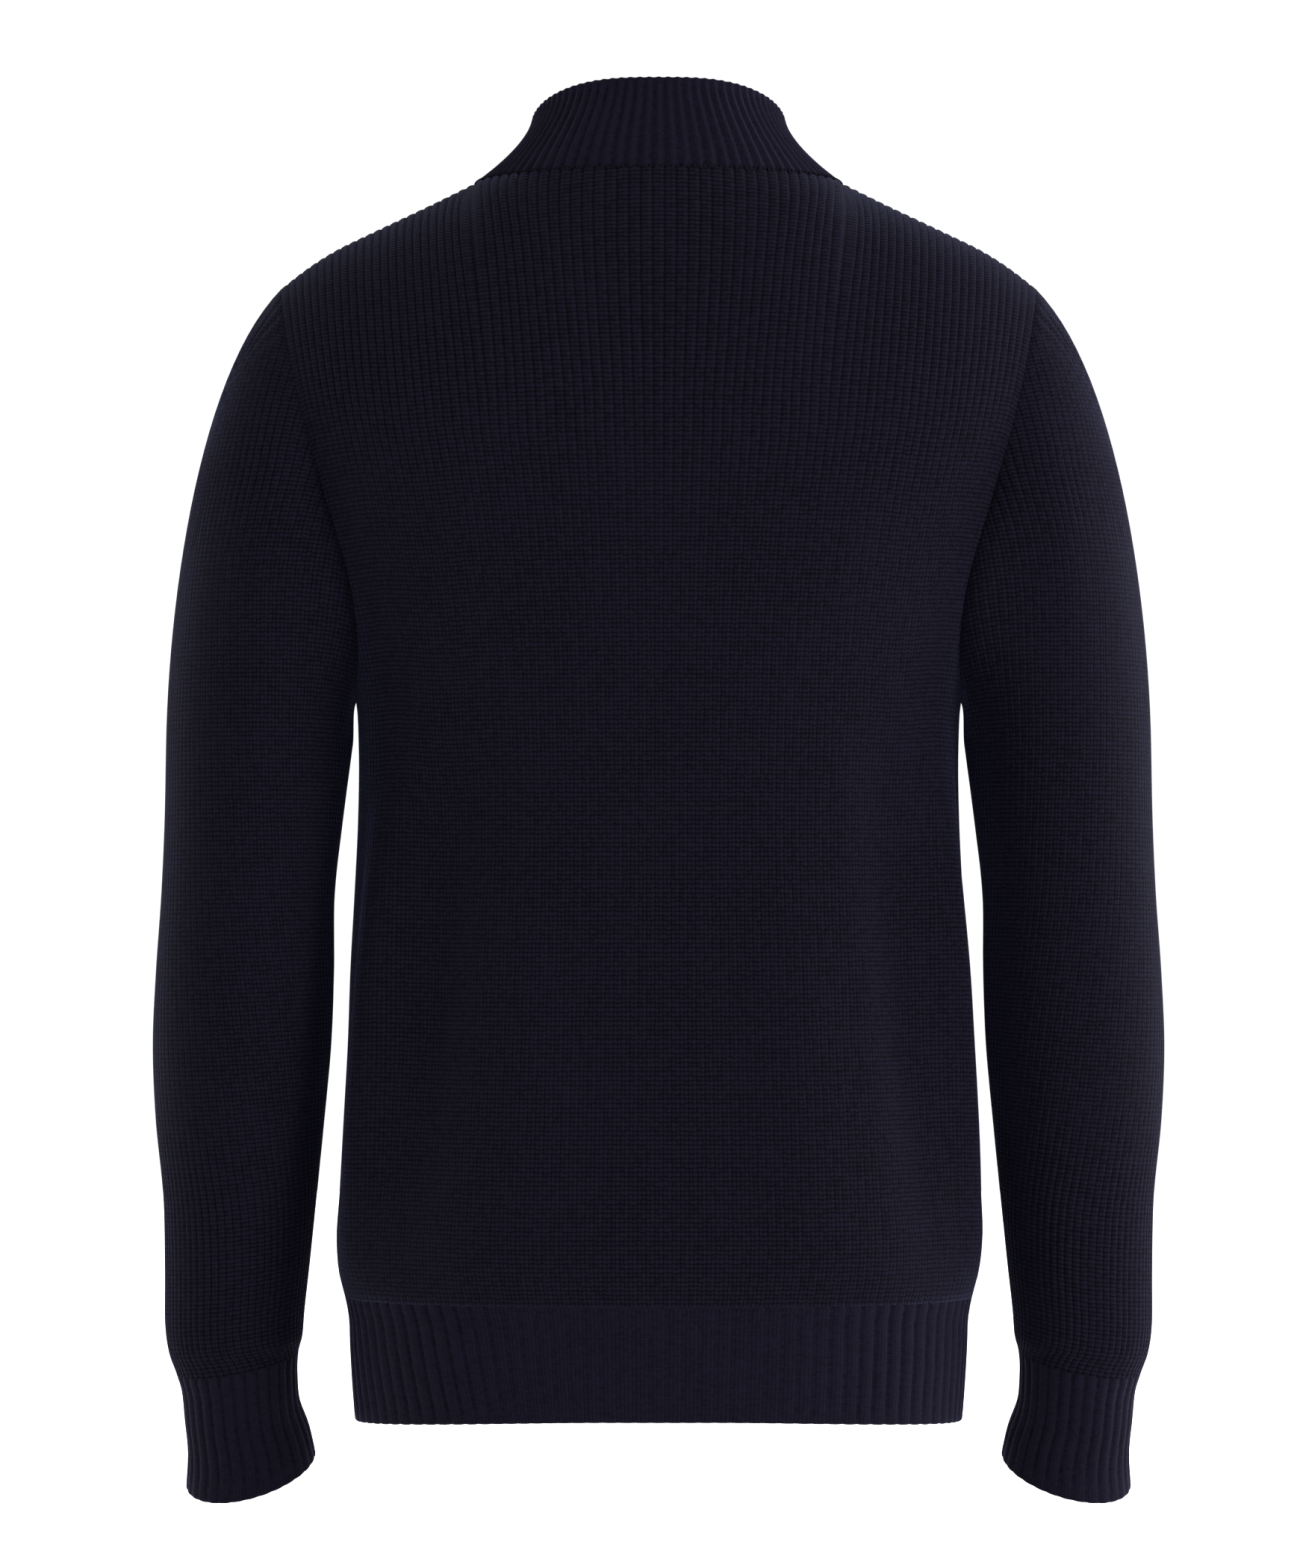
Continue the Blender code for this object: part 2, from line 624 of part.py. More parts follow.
def hem_band_back(cloth):
    """The back hem band."""
    shares = np.linspace(0, 1, HALF_HEM_RIBS * COLUMNS_PER_RIB + 1)
    left = np.stack(hem_rows(shares, 1))
    right = left * np.array([-1, 1, 1])
    outer = np.concatenate([right[:, :0:-1], left], axis=1)
    outer[..., 1] += SEAM_GAP / 2
    normals = flattened(grid_normals(outer), slice(None), 2)
    for edge in (0, -1):
        normals = flattened(normals, (slice(None), edge), 1)
    wall_object("hem_back", ribbed(outer, normals), plain_inside(outer, normals, 4), cloth)


def hem_front_grid(arm_side):
    """The outer grid of a front hem band."""
    shares = np.linspace(0, 1, HALF_HEM_RIBS * COLUMNS_PER_RIB + 1)
    outer = zip_edge(np.stack(hem_rows(shares, -1)) * np.array([arm_side, 1, 1]), shares, arm_side)
    outer[..., 1] -= SEAM_GAP / 2
    return outer


def hem_band_front(name, arm_side, cloth):
    """A front hem band, from the zip to the side."""
    outer = hem_front_grid(arm_side)
    normals = flattened(grid_normals(outer) * -arm_side, slice(None), 2)
    normals = flattened(normals, (slice(None), 0), 0)
    normals = flattened(normals, (slice(None), -1), 1)
    wall_object(name, ribbed(outer, normals), plain_inside(outer, normals, 3), cloth)


def neck_polyline(turns):
    """Points on the straight edges that the panels' columns give the neck seam. Turn 0 is at the centre back."""
    quarter = np.linspace(0, math.pi / 2, NECK_COLUMNS + 1)
    back = neck_seam(quarter, 1)
    front = neck_seam(quarter, -1)
    front[:, 0] += ZIP_HALF_GAP * np.linspace(1, 0, NECK_COLUMNS + 1)
    line = np.concatenate([back, front[-2::-1]])
    at = np.concatenate([quarter, math.pi - quarter[-2::-1]])
    return np.stack([np.interp(turns, at, line[:, k]) for k in range(3)], axis=-1)


def collar_grid(shares, climbs):
    """The collar's outer grid. shares runs from the left zip edge round the back to the right zip edge."""
    turns = (shares - 0.5) * 2 * math.pi
    seam = neck_polyline(np.abs(turns))
    seam[:, 0] *= -np.sign(turns)
    rim_y = RIM_CENTRE_Y + RIM_HALF_DEPTH * np.cos(turns)
    before_back = RIM_CENTRE_Y + RIM_HALF_DEPTH - rim_y
    rim_z = COLLAR_BACK_TOP - RIM_LEAN * before_back**2 / (before_back + RIM_EASE)
    rim = np.stack([-RIM_HALF_WIDTH * np.sin(turns), rim_y, rim_z], axis=1)
    chord = np.linalg.norm(rim - seam, axis=1, keepdims=True)
    level = np.zeros(len(turns))
    lean_in = np.stack([-0.80 * np.sign(seam[:, 0]), level, level + 0.60], axis=1)
    up_neck = np.stack([level, -0.37 * np.cos(turns), level + 0.93], axis=1)
    at_side = (np.sin(turns) ** 2)[:, None]
    leave = unit(lean_in * at_side + up_neck * (1 - at_side))
    arrive = unit(np.stack([0.10 * np.sin(turns), 0.07 - 0.35 * np.cos(turns), level + 0.95], axis=1))
    start = seam + leave * SEAM_GAP * 1.5
    grid = np.stack([hermite(start, leave * chord, rim, arrive * chord * 0.9, t) for t in climbs])
    beside_zip = np.clip(1 - (math.pi - np.abs(turns)) / 0.8, 0, 1)
    grid[..., 0] += -np.sign(turns) * ZIP_HALF_GAP * beside_zip * np.array(climbs)[:, None]
    return grid


def collar_outer():
    """The collar's outer grid."""
    columns = COLLAR_RIBS * COLUMNS_PER_RIB
    return collar_grid(np.linspace(0, 1, columns + 1), np.linspace(0, 1, COLLAR_ROWS + 1))


def collar(cloth):
    """The stand collar, knitted in one piece from zip edge to zip edge."""
    outer = collar_outer()
    normals = -grid_normals(outer)
    for edge in (0, -1):
        normals = flattened(normals, (slice(None), edge), 0)
    wall_object("collar", ribbed(outer, normals), plain_inside(outer, normals, 3), cloth)


# ---------------------------------------------------------------- sleeves and cuffs


def ring_normals(grid):
    """Outward normals of rings of points that close on themselves, running down the left arm."""
    wrapped = np.concatenate([grid[:, -1:], grid, grid[:, :1]], axis=1)
    across = (wrapped[:, 2:] - wrapped[:, :-2]) / 2
    along = np.gradient(grid, axis=0)
    return unit(np.cross(along, across))


def mirrored(grid, arm_side):
    """The grid on the left arm's side, or mirrored to the right arm's."""
    return grid * np.array([arm_side, 1, 1])


def sleeve(name, arm_side, cloth):
    """A set-in sleeve from the armhole to the cuff, knitted flat and closed by one seam."""
    turns = np.arange(2 * ARMHOLE_STEPS) * math.pi / ARMHOLE_STEPS
    head = sleeve_head(ARMHOLE_STEPS, (0, 0.1, 0.22, 0.36, 0.52, 0.68, 0.84))
    rings = [0, 0.8, 1.6, 2.5, 3.4, 4.3, 5.2, 6.1, 7.0, 8.0, 8.7, 9.3, SLEEVE_RINGS]
    tube = np.stack([arm_ring(number, turns) for number in rings])
    tube[-1, :, 2] += SEAM_GAP / 2
    outer = np.concatenate([head, tube])
    normals = ring_normals(outer)
    body_out = armhole_normals(ARMHOLE_STEPS)
    agree = np.sum(body_out * normals[0], axis=1) > 0.3
    normals[0] = np.where(agree[:, None], body_out, normals[0])
    inner = inward(outer, normals, WALL)
    wall_object(name, mirrored(outer, arm_side), mirrored(inner, arm_side), cloth, ring=True)


def cuff(name, arm_side, cloth):
    """A ribbed cuff, narrow at the wrist and flaring a little at its open end."""
    turns = np.arange(CUFF_RIBS * COLUMNS_PER_RIB) * 2 * math.pi / (CUFF_RIBS * COLUMNS_PER_RIB)
    numbers = np.linspace(SLEEVE_RINGS, len(ARM) - 1, CUFF_ROWS + 1)
    outer = np.stack([arm_ring(number, turns) for number in numbers])
    outer[0, :, 2] -= SEAM_GAP / 2
    normals = ring_normals(outer)
    inner = plain_inside(outer, normals, 3)
    wall_object(name, mirrored(ribbed(outer, normals), arm_side), mirrored(inner, arm_side), cloth, ring=True)


# ---------------------------------------------------------------- zip


class ZipLine:
    """The closed zip's centre line on the cloth's outer face, measured from the hem up to the collar's rim."""

    def __init__(self):
        rows = [*hem_front_grid(1), *front_grid(1)[1:], *collar_outer()[1:]]
        edge = np.array([row[0] for row in rows])
        beside = np.array([self.row_at(row, TAPE_OUTER_X) for row in rows])
        steps = np.linalg.norm(np.diff(edge, axis=0), axis=1)
        self.lengths = np.concatenate([[0], np.cumsum(steps)])
        self.edge = edge * np.array([0, 1, 1])
        self.sag = (beside - edge) * np.array([0, 1, 1])
        along = unit(np.gradient(self.edge, self.lengths, axis=0))
        self.inward = np.stack([np.zeros(len(rows)), along[:, 2], -along[:, 1]], axis=1)

    @staticmethod
    def row_at(row, x):
        """The point of a row of the left front at a distance from the centre."""
        few = row[:12]
        return np.array([x, np.interp(x, few[:, 0], few[:, 1]), np.interp(x, few[:, 0], few[:, 2])])

    def read(self, values, at):
        """One of the line's curves at a length."""
        return np.array([np.interp(at, self.lengths, values[:, k]) for k in range(3)])

    def point(self, at, x, depth):
        """A point beside the line, at a depth below the cloth's outer face."""
        share = max(0.0, (abs(x) - ZIP_HALF_GAP) / (TAPE_OUTER_X - ZIP_HALF_GAP))
        place = self.read(self.edge, at) + unit(self.read(self.inward, at)) * depth
        return place + self.read(self.sag, at) * share + np.array([x, 0, 0])

    def between(self, low, high):
        """The lengths of the line's rows between two lengths, and those two."""
        inside = [at for at in self.lengths if low + 0.001 < at < high - 0.001]
        return [low, *inside, high]

    def frame(self, at):
        """A straight frame at a length: origin, and the directions across, up the line and into the cloth."""
        up = unit(self.read(self.edge, at + 0.004) - self.read(self.edge, at - 0.004))
        return self.read(self.edge, at), (np.array([1.0, 0, 0]), up, np.array([0, up[2], -up[1]]))


def swept(name, line, lengths, profile, material):
    """A closed strip along the zip. The profile is a list of (x, depth) corners in order."""
    corners = len(profile)
    points = [line.point(at, x, depth) for at in lengths for x, depth in profile]
    faces = [tuple(range(corners)), tuple((len(lengths) - 1) * corners + k for k in range(corners))]
    for row in range(len(lengths) - 1):
        for k in range(corners):
            here, after = row * corners + k, row * corners + (k + 1) % corners
            faces.append((here, after, after + corners, here + corners))
    mesh = bpy.data.meshes.new(name)
    mesh.from_pydata([tuple(p) for p in points], [], faces)
    return finished(name, mesh, material)


def joined_boxes(name, boxes, origin, directions, material):
    """One closed body from boxes that meet on whole faces. A box is three (low, high) pairs."""
    cuts = [sorted({value for box in boxes for value in box[k]}) for k in range(3)]
    filled = set()
    for cell in np.ndindex(*(len(values) - 1 for values in cuts)):
        middle = [(cuts[k][cell[k]] + cuts[k][cell[k] + 1]) / 2 for k in range(3)]
        if any(all(box[k][0] < middle[k] < box[k][1] for k in range(3)) for box in boxes):
            filled.add(cell)
    numbers = {}
    faces = []
    for cell in sorted(filled):
        for axis in range(3):
            for side in (0, 1):
                neighbour = tuple(c + (2 * side - 1) * (k == axis) for k, c in enumerate(cell))
                if neighbour not in filled:
                    faces.append(box_side(cell, axis, side, numbers))
    points = [sum(cuts[k][n[k]] * directions[k] for k in range(3)) for n in numbers]
    mesh = bpy.data.meshes.new(name)
    mesh.from_pydata([tuple(p) for p in points], [], faces)
    made = finished(name, mesh, material)
    made.location = tuple(origin)
    return made


def box_side(cell, axis, side, numbers):
    """One side of a grid cell as a quad. numbers gives each grid corner its point number."""
    first, second = [k for k in range(3) if k != axis]
    quad = []
    for a, b in ((0, 0), (1, 0), (1, 1), (0, 1)):
        corner = list(cell)
        corner[axis] += side
        corner[first] += a
        corner[second] += b
        quad.append(numbers.setdefault(tuple(corner), len(numbers)))
    return tuple(quad)


def zip_tapes(line, cloth):
    """A tape behind each front edge."""
    lengths = line.between(0.001, line.lengths[-1] - 0.0015)
    back = TAPE_DEPTH + TAPE_THICKNESS
    for side_name, arm_side in (("left", 1), ("right", -1)):
        across = [arm_side * x for x in (TAPE_INNER_X, ZIP_HALF_GAP, TAPE_OUTER_X)]
        profile = [(x, TAPE_DEPTH) for x in across] + [(x, back) for x in reversed(across)]
        swept(f"zip_tape_{side_name}", line, lengths, profile, cloth)


def zip_chain(line, metal):
    """The closed chain of teeth as a plain strip."""
    lengths = line.between(BOX_ABOVE_HEM + 0.0015, line.lengths[-1] - SLIDER_BELOW_RIM + POST_LOW - 0.0006)
    front, back, x = CHAIN_DEPTH, CHAIN_DEPTH + CHAIN_THICKNESS, CHAIN_HALF_WIDTH
    swept("zip_chain", line, lengths, [(-x, front), (x, front), (x, back), (-x, back)], metal)


def zip_ends(line, metal):
    """The box at the foot of the zip and the stop at the head of each tape."""
    origin, directions = line.frame(BOX_ABOVE_HEM / 2)
    half = BOX_ABOVE_HEM / 2 - 0.001
    joined_boxes("zip_box", [((-0.0036, 0.0036), (-half, half + 0.0015), (0.0003, 0.0031))], origin, directions, metal)
    origin, directions = line.frame(line.lengths[-1] - SLIDER_BELOW_RIM)
    for side_name, arm_side in (("left", 1), ("right", -1)):
        across = tuple(sorted((arm_side * 0.0017, arm_side * 0.0042)))
        box = (across, (0.0066, 0.0092), (0.0010, 0.0031))
        joined_boxes(f"zip_stop_{side_name}", [box], origin, directions, metal)


def zip_slider(line, metal):
    """The slider: a plate before and behind the tapes, the post between them, and the bridge for the tab."""
    origin, directions = line.frame(line.lengths[-1] - SLIDER_BELOW_RIM)
    wide = (-PLATE_HALF_WIDTH, PLATE_HALF_WIDTH)
    long = (-PLATE_HALF_LENGTH, PLATE_HALF_LENGTH)
    narrow = (-BRIDGE_HALF_WIDTH, BRIDGE_HALF_WIDTH)
    boxes = [
        (wide, long, (PLATE_FRONT, PLATE_BACK)),
        (wide, long, (UNDER_PLATE_FRONT, UNDER_PLATE_BACK)),
        ((-POST_HALF_WIDTH, POST_HALF_WIDTH), (POST_LOW, PLATE_HALF_LENGTH), (PLATE_BACK, UNDER_PLATE_FRONT)),
        (narrow, (-BRIDGE_OUTER, -BRIDGE_INNER), (BRIDGE_UNDERSIDE, PLATE_FRONT)),
        (narrow, (BRIDGE_INNER, BRIDGE_OUTER), (BRIDGE_UNDERSIDE, PLATE_FRONT)),
        (narrow, (-BRIDGE_OUTER, BRIDGE_OUTER), (BRIDGE_FRONT, BRIDGE_UNDERSIDE)),
    ]
    joined_boxes("zip_slider", boxes, origin, directions, metal)


def pull_tab(line, metal):
    """The pull tab: a flat bar with a slot for the bridge and a hole at its free end."""
    origin, directions = line.frame(line.lengths[-1] - SLIDER_BELOW_RIM)
    thick = (-TAB_HALF_THICKNESS, TAB_HALF_THICKNESS)
    top = TAB_HALF_THICKNESS
    full = (-TAB_HALF_WIDTH, TAB_HALF_WIDTH)
    boxes = [(full, (-top, top), thick)]
    boxes += [(full, (TAB_HOLE_TOP, TAB_SLOT_END), thick), (full, (TAB_END, TAB_HOLE_BOTTOM), thick)]
    for low, high in ((-TAB_HALF_WIDTH, -TAB_SLOT_HALF_WIDTH), (TAB_SLOT_HALF_WIDTH, TAB_HALF_WIDTH)):
        boxes += [((low, high), (TAB_SLOT_END, -top), thick), ((low, high), (TAB_HOLE_BOTTOM, TAB_HOLE_TOP), thick)]
    joined_boxes("pull_tab", boxes, origin + directions[2] * TAB_AXIS_DEPTH, directions, metal)


# ---------------------------------------------------------------- main


def clear_scene():
    """Empties the scene."""
    for old in list(bpy.data.objects):
        bpy.data.objects.remove(old)


def main():
    clear_scene()
    body_knit = plain_material("navy_body_knit", NAVY_KNIT, 0.95)
    rib_knit = plain_material("navy_rib_knit", NAVY_KNIT, 0.95)
    back_panel(body_knit)
    front_panel("front_left", 1, body_knit)
    front_panel("front_right", -1, body_knit)
    hem_band_back(rib_knit)
    hem_band_front("hem_front_left", 1, rib_knit)
    hem_band_front("hem_front_right", -1, rib_knit)
    collar(rib_knit)
    for side_name, arm_side in (("left", 1), ("right", -1)):
        sleeve(f"sleeve_{side_name}", arm_side, body_knit)
        cuff(f"cuff_{side_name}", arm_side, rib_knit)
    tape = plain_material("navy_zip_tape", NAVY_TAPE, 0.85)
    metal = plain_material("dark_zip_metal", GUNMETAL, 0.35, 1.0)
    line = ZipLine()
    zip_tapes(line, tape)
    zip_chain(line, metal)
    zip_ends(line, metal)
    zip_slider(line, metal)
    pull_tab(line, metal)


main()
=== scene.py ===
"""Looks of the zip-up rib-knit sweater: fine knitted walls on the garment's form, zip, light and camera."""

import logging
import math
from collections.abc import Callable, Sequence
from dataclasses import dataclass
from enum import Enum
from functools import cached_property

import bmesh
import bpy
import numpy as np
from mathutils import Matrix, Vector


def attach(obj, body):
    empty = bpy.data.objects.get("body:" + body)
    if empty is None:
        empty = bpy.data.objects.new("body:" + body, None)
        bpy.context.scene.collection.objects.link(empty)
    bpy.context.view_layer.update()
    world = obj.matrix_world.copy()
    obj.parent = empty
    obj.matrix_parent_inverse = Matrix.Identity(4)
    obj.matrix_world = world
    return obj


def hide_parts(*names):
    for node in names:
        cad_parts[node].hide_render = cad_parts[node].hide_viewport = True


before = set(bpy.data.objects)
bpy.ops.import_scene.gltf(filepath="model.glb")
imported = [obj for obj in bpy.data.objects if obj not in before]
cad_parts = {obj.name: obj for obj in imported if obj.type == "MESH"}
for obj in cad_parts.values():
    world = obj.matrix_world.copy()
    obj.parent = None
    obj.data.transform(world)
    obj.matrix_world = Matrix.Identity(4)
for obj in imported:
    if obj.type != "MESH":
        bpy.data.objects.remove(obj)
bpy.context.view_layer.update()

LOG = logging.getLogger("sweater")
Grid = np.ndarray
Step = tuple[str | float, ...]

GARMENT = "garment"
MM = 0.001
CAST_PARTS = ("zip_slider", "zip_box", "zip_stop_left", "zip_stop_right", "pull_tab")


class Facing(Enum):
    """Which half of the torso a panel covers, as the sign of its Y."""

    BACK = 1
    FRONT = -1


class Arm(Enum):
    """The arm's side of the body, as the sign of its X."""

    LEFT = 1
    RIGHT = -1

    @property
    def word(self) -> str:
        """The side as it stands in the nodes' names."""
        return self.name.lower()


# ---------------------------------------------------------------- curves and arrays


def hermite(start: Grid, leave: Grid, end: Grid, arrive: Grid, t: float | Grid) -> Grid:
    """The cubic from start to end with those end tangents.

    Args:
        start: Where it starts.
        leave: Its tangent there.
        end: Where it ends.
        arrive: Its tangent there.
        t: How far along to read it, from 0 to 1.

    Returns:
        The curve's points.
    """
    return (
        (2 * t**3 - 3 * t**2 + 1) * start
        + (t**3 - 2 * t**2 + t) * leave
        + (3 * t**2 - 2 * t**3) * end
        + (t**3 - t**2) * arrive
    )


def through(keys: Grid, values: Grid, at: float | Grid) -> Grid:
    """A smooth curve through values at rising keys.

    Args:
        keys: The rising keys.
        values: The value at each key.
        at: Where to read the curve.

    Returns:
        The curve's values.
    """
    slopes = np.gradient(values, keys)
    k = np.clip(np.searchsorted(keys, at) - 1, 0, len(keys) - 2)
    span = keys[k + 1] - keys[k]
    return hermite(values[k], slopes[k] * span, values[k + 1], slopes[k + 1] * span, (at - keys[k]) / span)


def soft_step(low: float, high: float, value: float | Grid) -> Grid:
    """0 below low, 1 above high, smooth between."""
    t = np.clip((value - low) / (high - low), 0, 1)
    return t * t * (3 - 2 * t)


def from_floor(floor: float, share: Grid) -> Grid:
    """A share that runs up to 1 from floor, where it would run up from 0."""
    return floor + (1 - floor) * share


def unit(vectors: Grid) -> Grid:
    """Vectors along the last axis, made one metre long."""
    return vectors / np.maximum(np.linalg.norm(vectors, axis=-1, keepdims=True), 1e-12)


def run_lengths(line: Grid) -> Grid:
    """Distance along a polyline at each of its points."""
    return np.concatenate([[0], np.cumsum(np.linalg.norm(np.diff(line, axis=0), axis=1))])


def read_line(line: Grid, keys: Grid, at: Grid) -> Grid:
    """Rows of a table of vectors, read between its keys.

    Args:
        line: One vector a key.
        keys: The rising keys.
        at: Where to read.

    Returns:
        One vector for each place.
    """
    return np.stack([np.interp(at, keys, line[:, k]) for k in range(line.shape[1])], axis=-1)


def grid_normals(grid: Grid) -> Grid:
    """Unit normals of a grid of points, rows crossed with columns."""
    return unit(np.cross(np.gradient(grid, axis=0), np.gradient(grid, axis=1)))


def ring_normals(rings: Grid) -> Grid:
    """Unit outward normals of rings of points whose last point lies on their first."""
    wrapped = np.concatenate([rings[:, -2:-1], rings, rings[:, 1:2]], axis=1)
    return unit(np.cross(np.gradient(rings, axis=0), (wrapped[:, 2:] - wrapped[:, :-2]) / 2))


def panel_normals(grid: Grid) -> Grid:
    """Unit normals of a panel's grid. Where its last columns have run together they take the last free one's.

    Args:
        grid: The grid of points.

    Returns:
        One normal a point.
    """
    apart = 1e-6
    free = np.linalg.norm(np.diff(grid, axis=1), axis=2) > apart
    last = free.shape[1] - np.argmax(free[:, ::-1], axis=1)
    source = np.minimum(np.arange(grid.shape[1])[None], last[:, None] - 1)
    return np.take_along_axis(grid_normals(grid), source[..., None], axis=1)


def course_lengths(grid: Grid) -> Grid:
    """Distance down each column of a grid from its first row."""
    steps = np.linalg.norm(np.diff(grid, axis=0), axis=2)
    return np.concatenate([np.zeros((1, grid.shape[1])), np.cumsum(steps, axis=0)])


# ---------------------------------------------------------------- materials


def linear(hex_colour: str) -> tuple[float, float, float, float]:
    """An sRGB hex colour as linear RGBA."""
    parts = [int(hex_colour[k : k + 2], 16) / 255 for k in (1, 3, 5)]
    return (*(c / 12.92 if c <= 0.04045 else ((c + 0.055) / 1.055) ** 2.4 for c in parts), 1.0)


def set_inputs(tree: bpy.types.NodeTree, node: bpy.types.Node, inputs: dict) -> None:
    """Gives a node's inputs their values, or links sockets to them.

    Args:
        tree: The node tree.
        node: The node.
        inputs: For each input's name or number, a value, or a socket to link from.
    """
    for key, value in inputs.items():
        if isinstance(value, bpy.types.NodeSocket):
            tree.links.new(value, node.inputs[key])
        else:
            node.inputs[key].default_value = value


def add_node(tree: bpy.types.NodeTree, kind: str, inputs: dict | None = None, **settings: object) -> bpy.types.Node:
    """A new node with its settings and its inputs.

    Args:
        tree: The node tree.
        kind: The node's type.
        inputs: For each input's name or number, a value, or a socket to link from.
        settings: The node's own properties.

    Returns:
        The node.
    """
    node = tree.nodes.new(kind)
    for name, value in settings.items():
        setattr(node, name, value)
    set_inputs(tree, node, inputs or {})
    return node


def from_middle(name: str) -> tuple[Step, ...]:
    """The steps from a running count to its distance from the middle of each whole one.

    Args:
        name: The count's name.

    Returns:
        The steps. The last is named beside_ and the count, and is 0 in the middles and 1 at the ends.
    """
    return (
        (f"{name}_part", "FRACT", name),
        (f"{name}_swing", "MULTIPLY_ADD", f"{name}_part", 2.0, -1.0),
        (f"beside_{name}", "ABSOLUTE", f"{name}_swing"),
    )


def new_material(name: str) -> tuple[bpy.types.Material, bpy.types.NodeTree, bpy.types.Node]:
    """A new material.

    Args:
        name: Its name.

    Returns:
        The material, its tree and its Principled shader.
    """
    made = bpy.data.materials.new(name)
    made.use_nodes = True
    return made, made.node_tree, made.node_tree.nodes["Principled BSDF"]


@dataclass(frozen=True)
class RibKnitFinish:
    """Wool-blend yarn, very dark navy, knitted in ribs.

    Each loop stands up as a small soft dot between the wales' grooves and the courses' rungs, and the hairs of
    the yarn catch light at grazing angles. The colour carries painted shade, darker in the grooves, the rungs and
    the hollows between ribs. The pattern follows the piece's own UV map: one unit a rib across and one a course
    along. The piece's share attribute says how far its ribs stand up."""

    name: str
    wales: int
    wale_offset: float
    # valley is the share of a rib's width taken by the hollow beside it; shade, groove and rung say how dark the
    # painted shade is made in that hollow, between two wales and between two courses
    valley: float
    shade: float
    groove: float
    rung: float
    bow: float = 0.0
    loop_height_mm: float = 0.4
    hair_height_mm: float = 0.16
    wander_mm: float = 25 / 6
    wander_across: float = 0.22
    wander_along: float = 0.25
    hair_mm: float = 2 / 3
    cloud_mm: float = 500 / 7
    contrast: float = 1.55
    darkening: float = -0.27
    # loop_hex is the yarn's colour on the loops; the second colour is the painted shade in the grooves, rungs and
    # hollows
    loop_hex: str = "#0b0913"
    hollow_hex: str = "#010103"
    sheen_hex: str = "#b0baff"

    def place_steps(self) -> tuple[Step, ...]:
        """The steps that say where a spot lies among the ribs, the wales and the courses.

        Returns:
            For each step its result's name, its operation, and the names or numbers that it takes.
        """
        return (
            *from_middle("rib"),
            # Yarn never lies quite even: the loops wander by a fraction of a stitch
            ("sidle", "MULTIPLY_ADD", "drift_across", 2 * self.wander_across, -self.wander_across),
            ("wale", "MULTIPLY_ADD", "rib", float(self.wales), self.wale_offset),
            ("across", "ADD", "wale", "sidle"),
            *from_middle("across"),
            ("slide", "MULTIPLY_ADD", "drift_along", 2 * self.wander_along, -self.wander_along),
            ("level", "ADD", "course", "slide"),
            ("arch", "MULTIPLY", "beside_rib", self.bow),
            ("along", "ADD", "level", "arch"),
            *from_middle("along"),
            ("wale_number", "FLOOR", "across"),
            ("course_number", "FLOOR", "along"),
        )

    def light_steps(self) -> tuple[Step, ...]:
        """The steps that say how light a spot is and how high it stands.

        Returns:
            The steps, in the same form.
        """
        return (
            # Painted shade: the colour darkens in the hollow between two ribs where the ribs stand up
            ("hollow", "SUBTRACT", 1.0, "open"),
            ("shadow", "MULTIPLY", "standing", self.shade),
            ("dark_hollow", "MULTIPLY", "hollow", "shadow"),
            ("crest", "SUBTRACT", 1.0, "dark_hollow"),
            # A loop is a dot between two wales' grooves, fainter on a standing rib, and two courses' rungs; the grooves
            # and rungs are painted shade
            ("between_wales", "POWER", "beside_across", 2.2),
            ("full_groove", "MULTIPLY", "between_wales", self.groove),
            ("groove_share", "MULTIPLY_ADD", "standing", -0.45, 1.0),
            ("groove", "MULTIPLY", "full_groove", "groove_share"),
            ("off_groove", "SUBTRACT", 1.0, "groove"),
            ("between_courses", "POWER", "beside_along", 1.9),
            ("rung", "MULTIPLY", "between_courses", self.rung),
            ("off_rung", "SUBTRACT", 1.0, "rung"),
            ("dots", "MULTIPLY", "off_groove", "off_rung"),
            # No two loops take the dye alike, and hairs and slow clouds lie over them
            # The dots with their painted shade in grooves, rungs and hollows
            ("dyed", "MULTIPLY", "dots", "crest"),
            ("dye", "MULTIPLY_ADD", "chance", 0.5, 0.75),
            ("uneven", "MULTIPLY", "dyed", "dye"),
            ("hair", "MULTIPLY_ADD", "hairs", 0.5, -0.25),
            ("hairy", "ADD", "uneven", "hair"),
            ("cloud", "MULTIPLY_ADD", "clouds", 0.24, -0.12),
            ("cloudy", "ADD", "hairy", "cloud"),
            ("lit", "MULTIPLY_ADD", "cloudy", self.contrast, self.darkening),
            ("hair_height", "MULTIPLY", "hairs", self.hair_height_mm),
            ("height", "MULTIPLY_ADD", "dots", self.loop_height_mm, "hair_height"),
        )

    def make(self) -> bpy.types.Material:
        """Makes the material.

        Returns:
            The material.
        """
        made, tree, shader = new_material(self.name)
        place = add_node(tree, "ShaderNodeUVMap", uv_map="knit").outputs[0]
        parts = add_node(tree, "ShaderNodeSeparateXYZ", {0: place}).outputs
        solid = add_node(tree, "ShaderNodeTexCoord").outputs["Object"]
        standing = add_node(tree, "ShaderNodeAttribute", attribute_name="share").outputs["Fac"]
        wander = {"Vector": solid, "Scale": 1 / (self.wander_mm * MM), "Detail": 1.0}
        swing = add_node(tree, "ShaderNodeTexNoise", wander).outputs["Color"]
        drift = add_node(tree, "ShaderNodeSeparateXYZ", {0: swing}).outputs
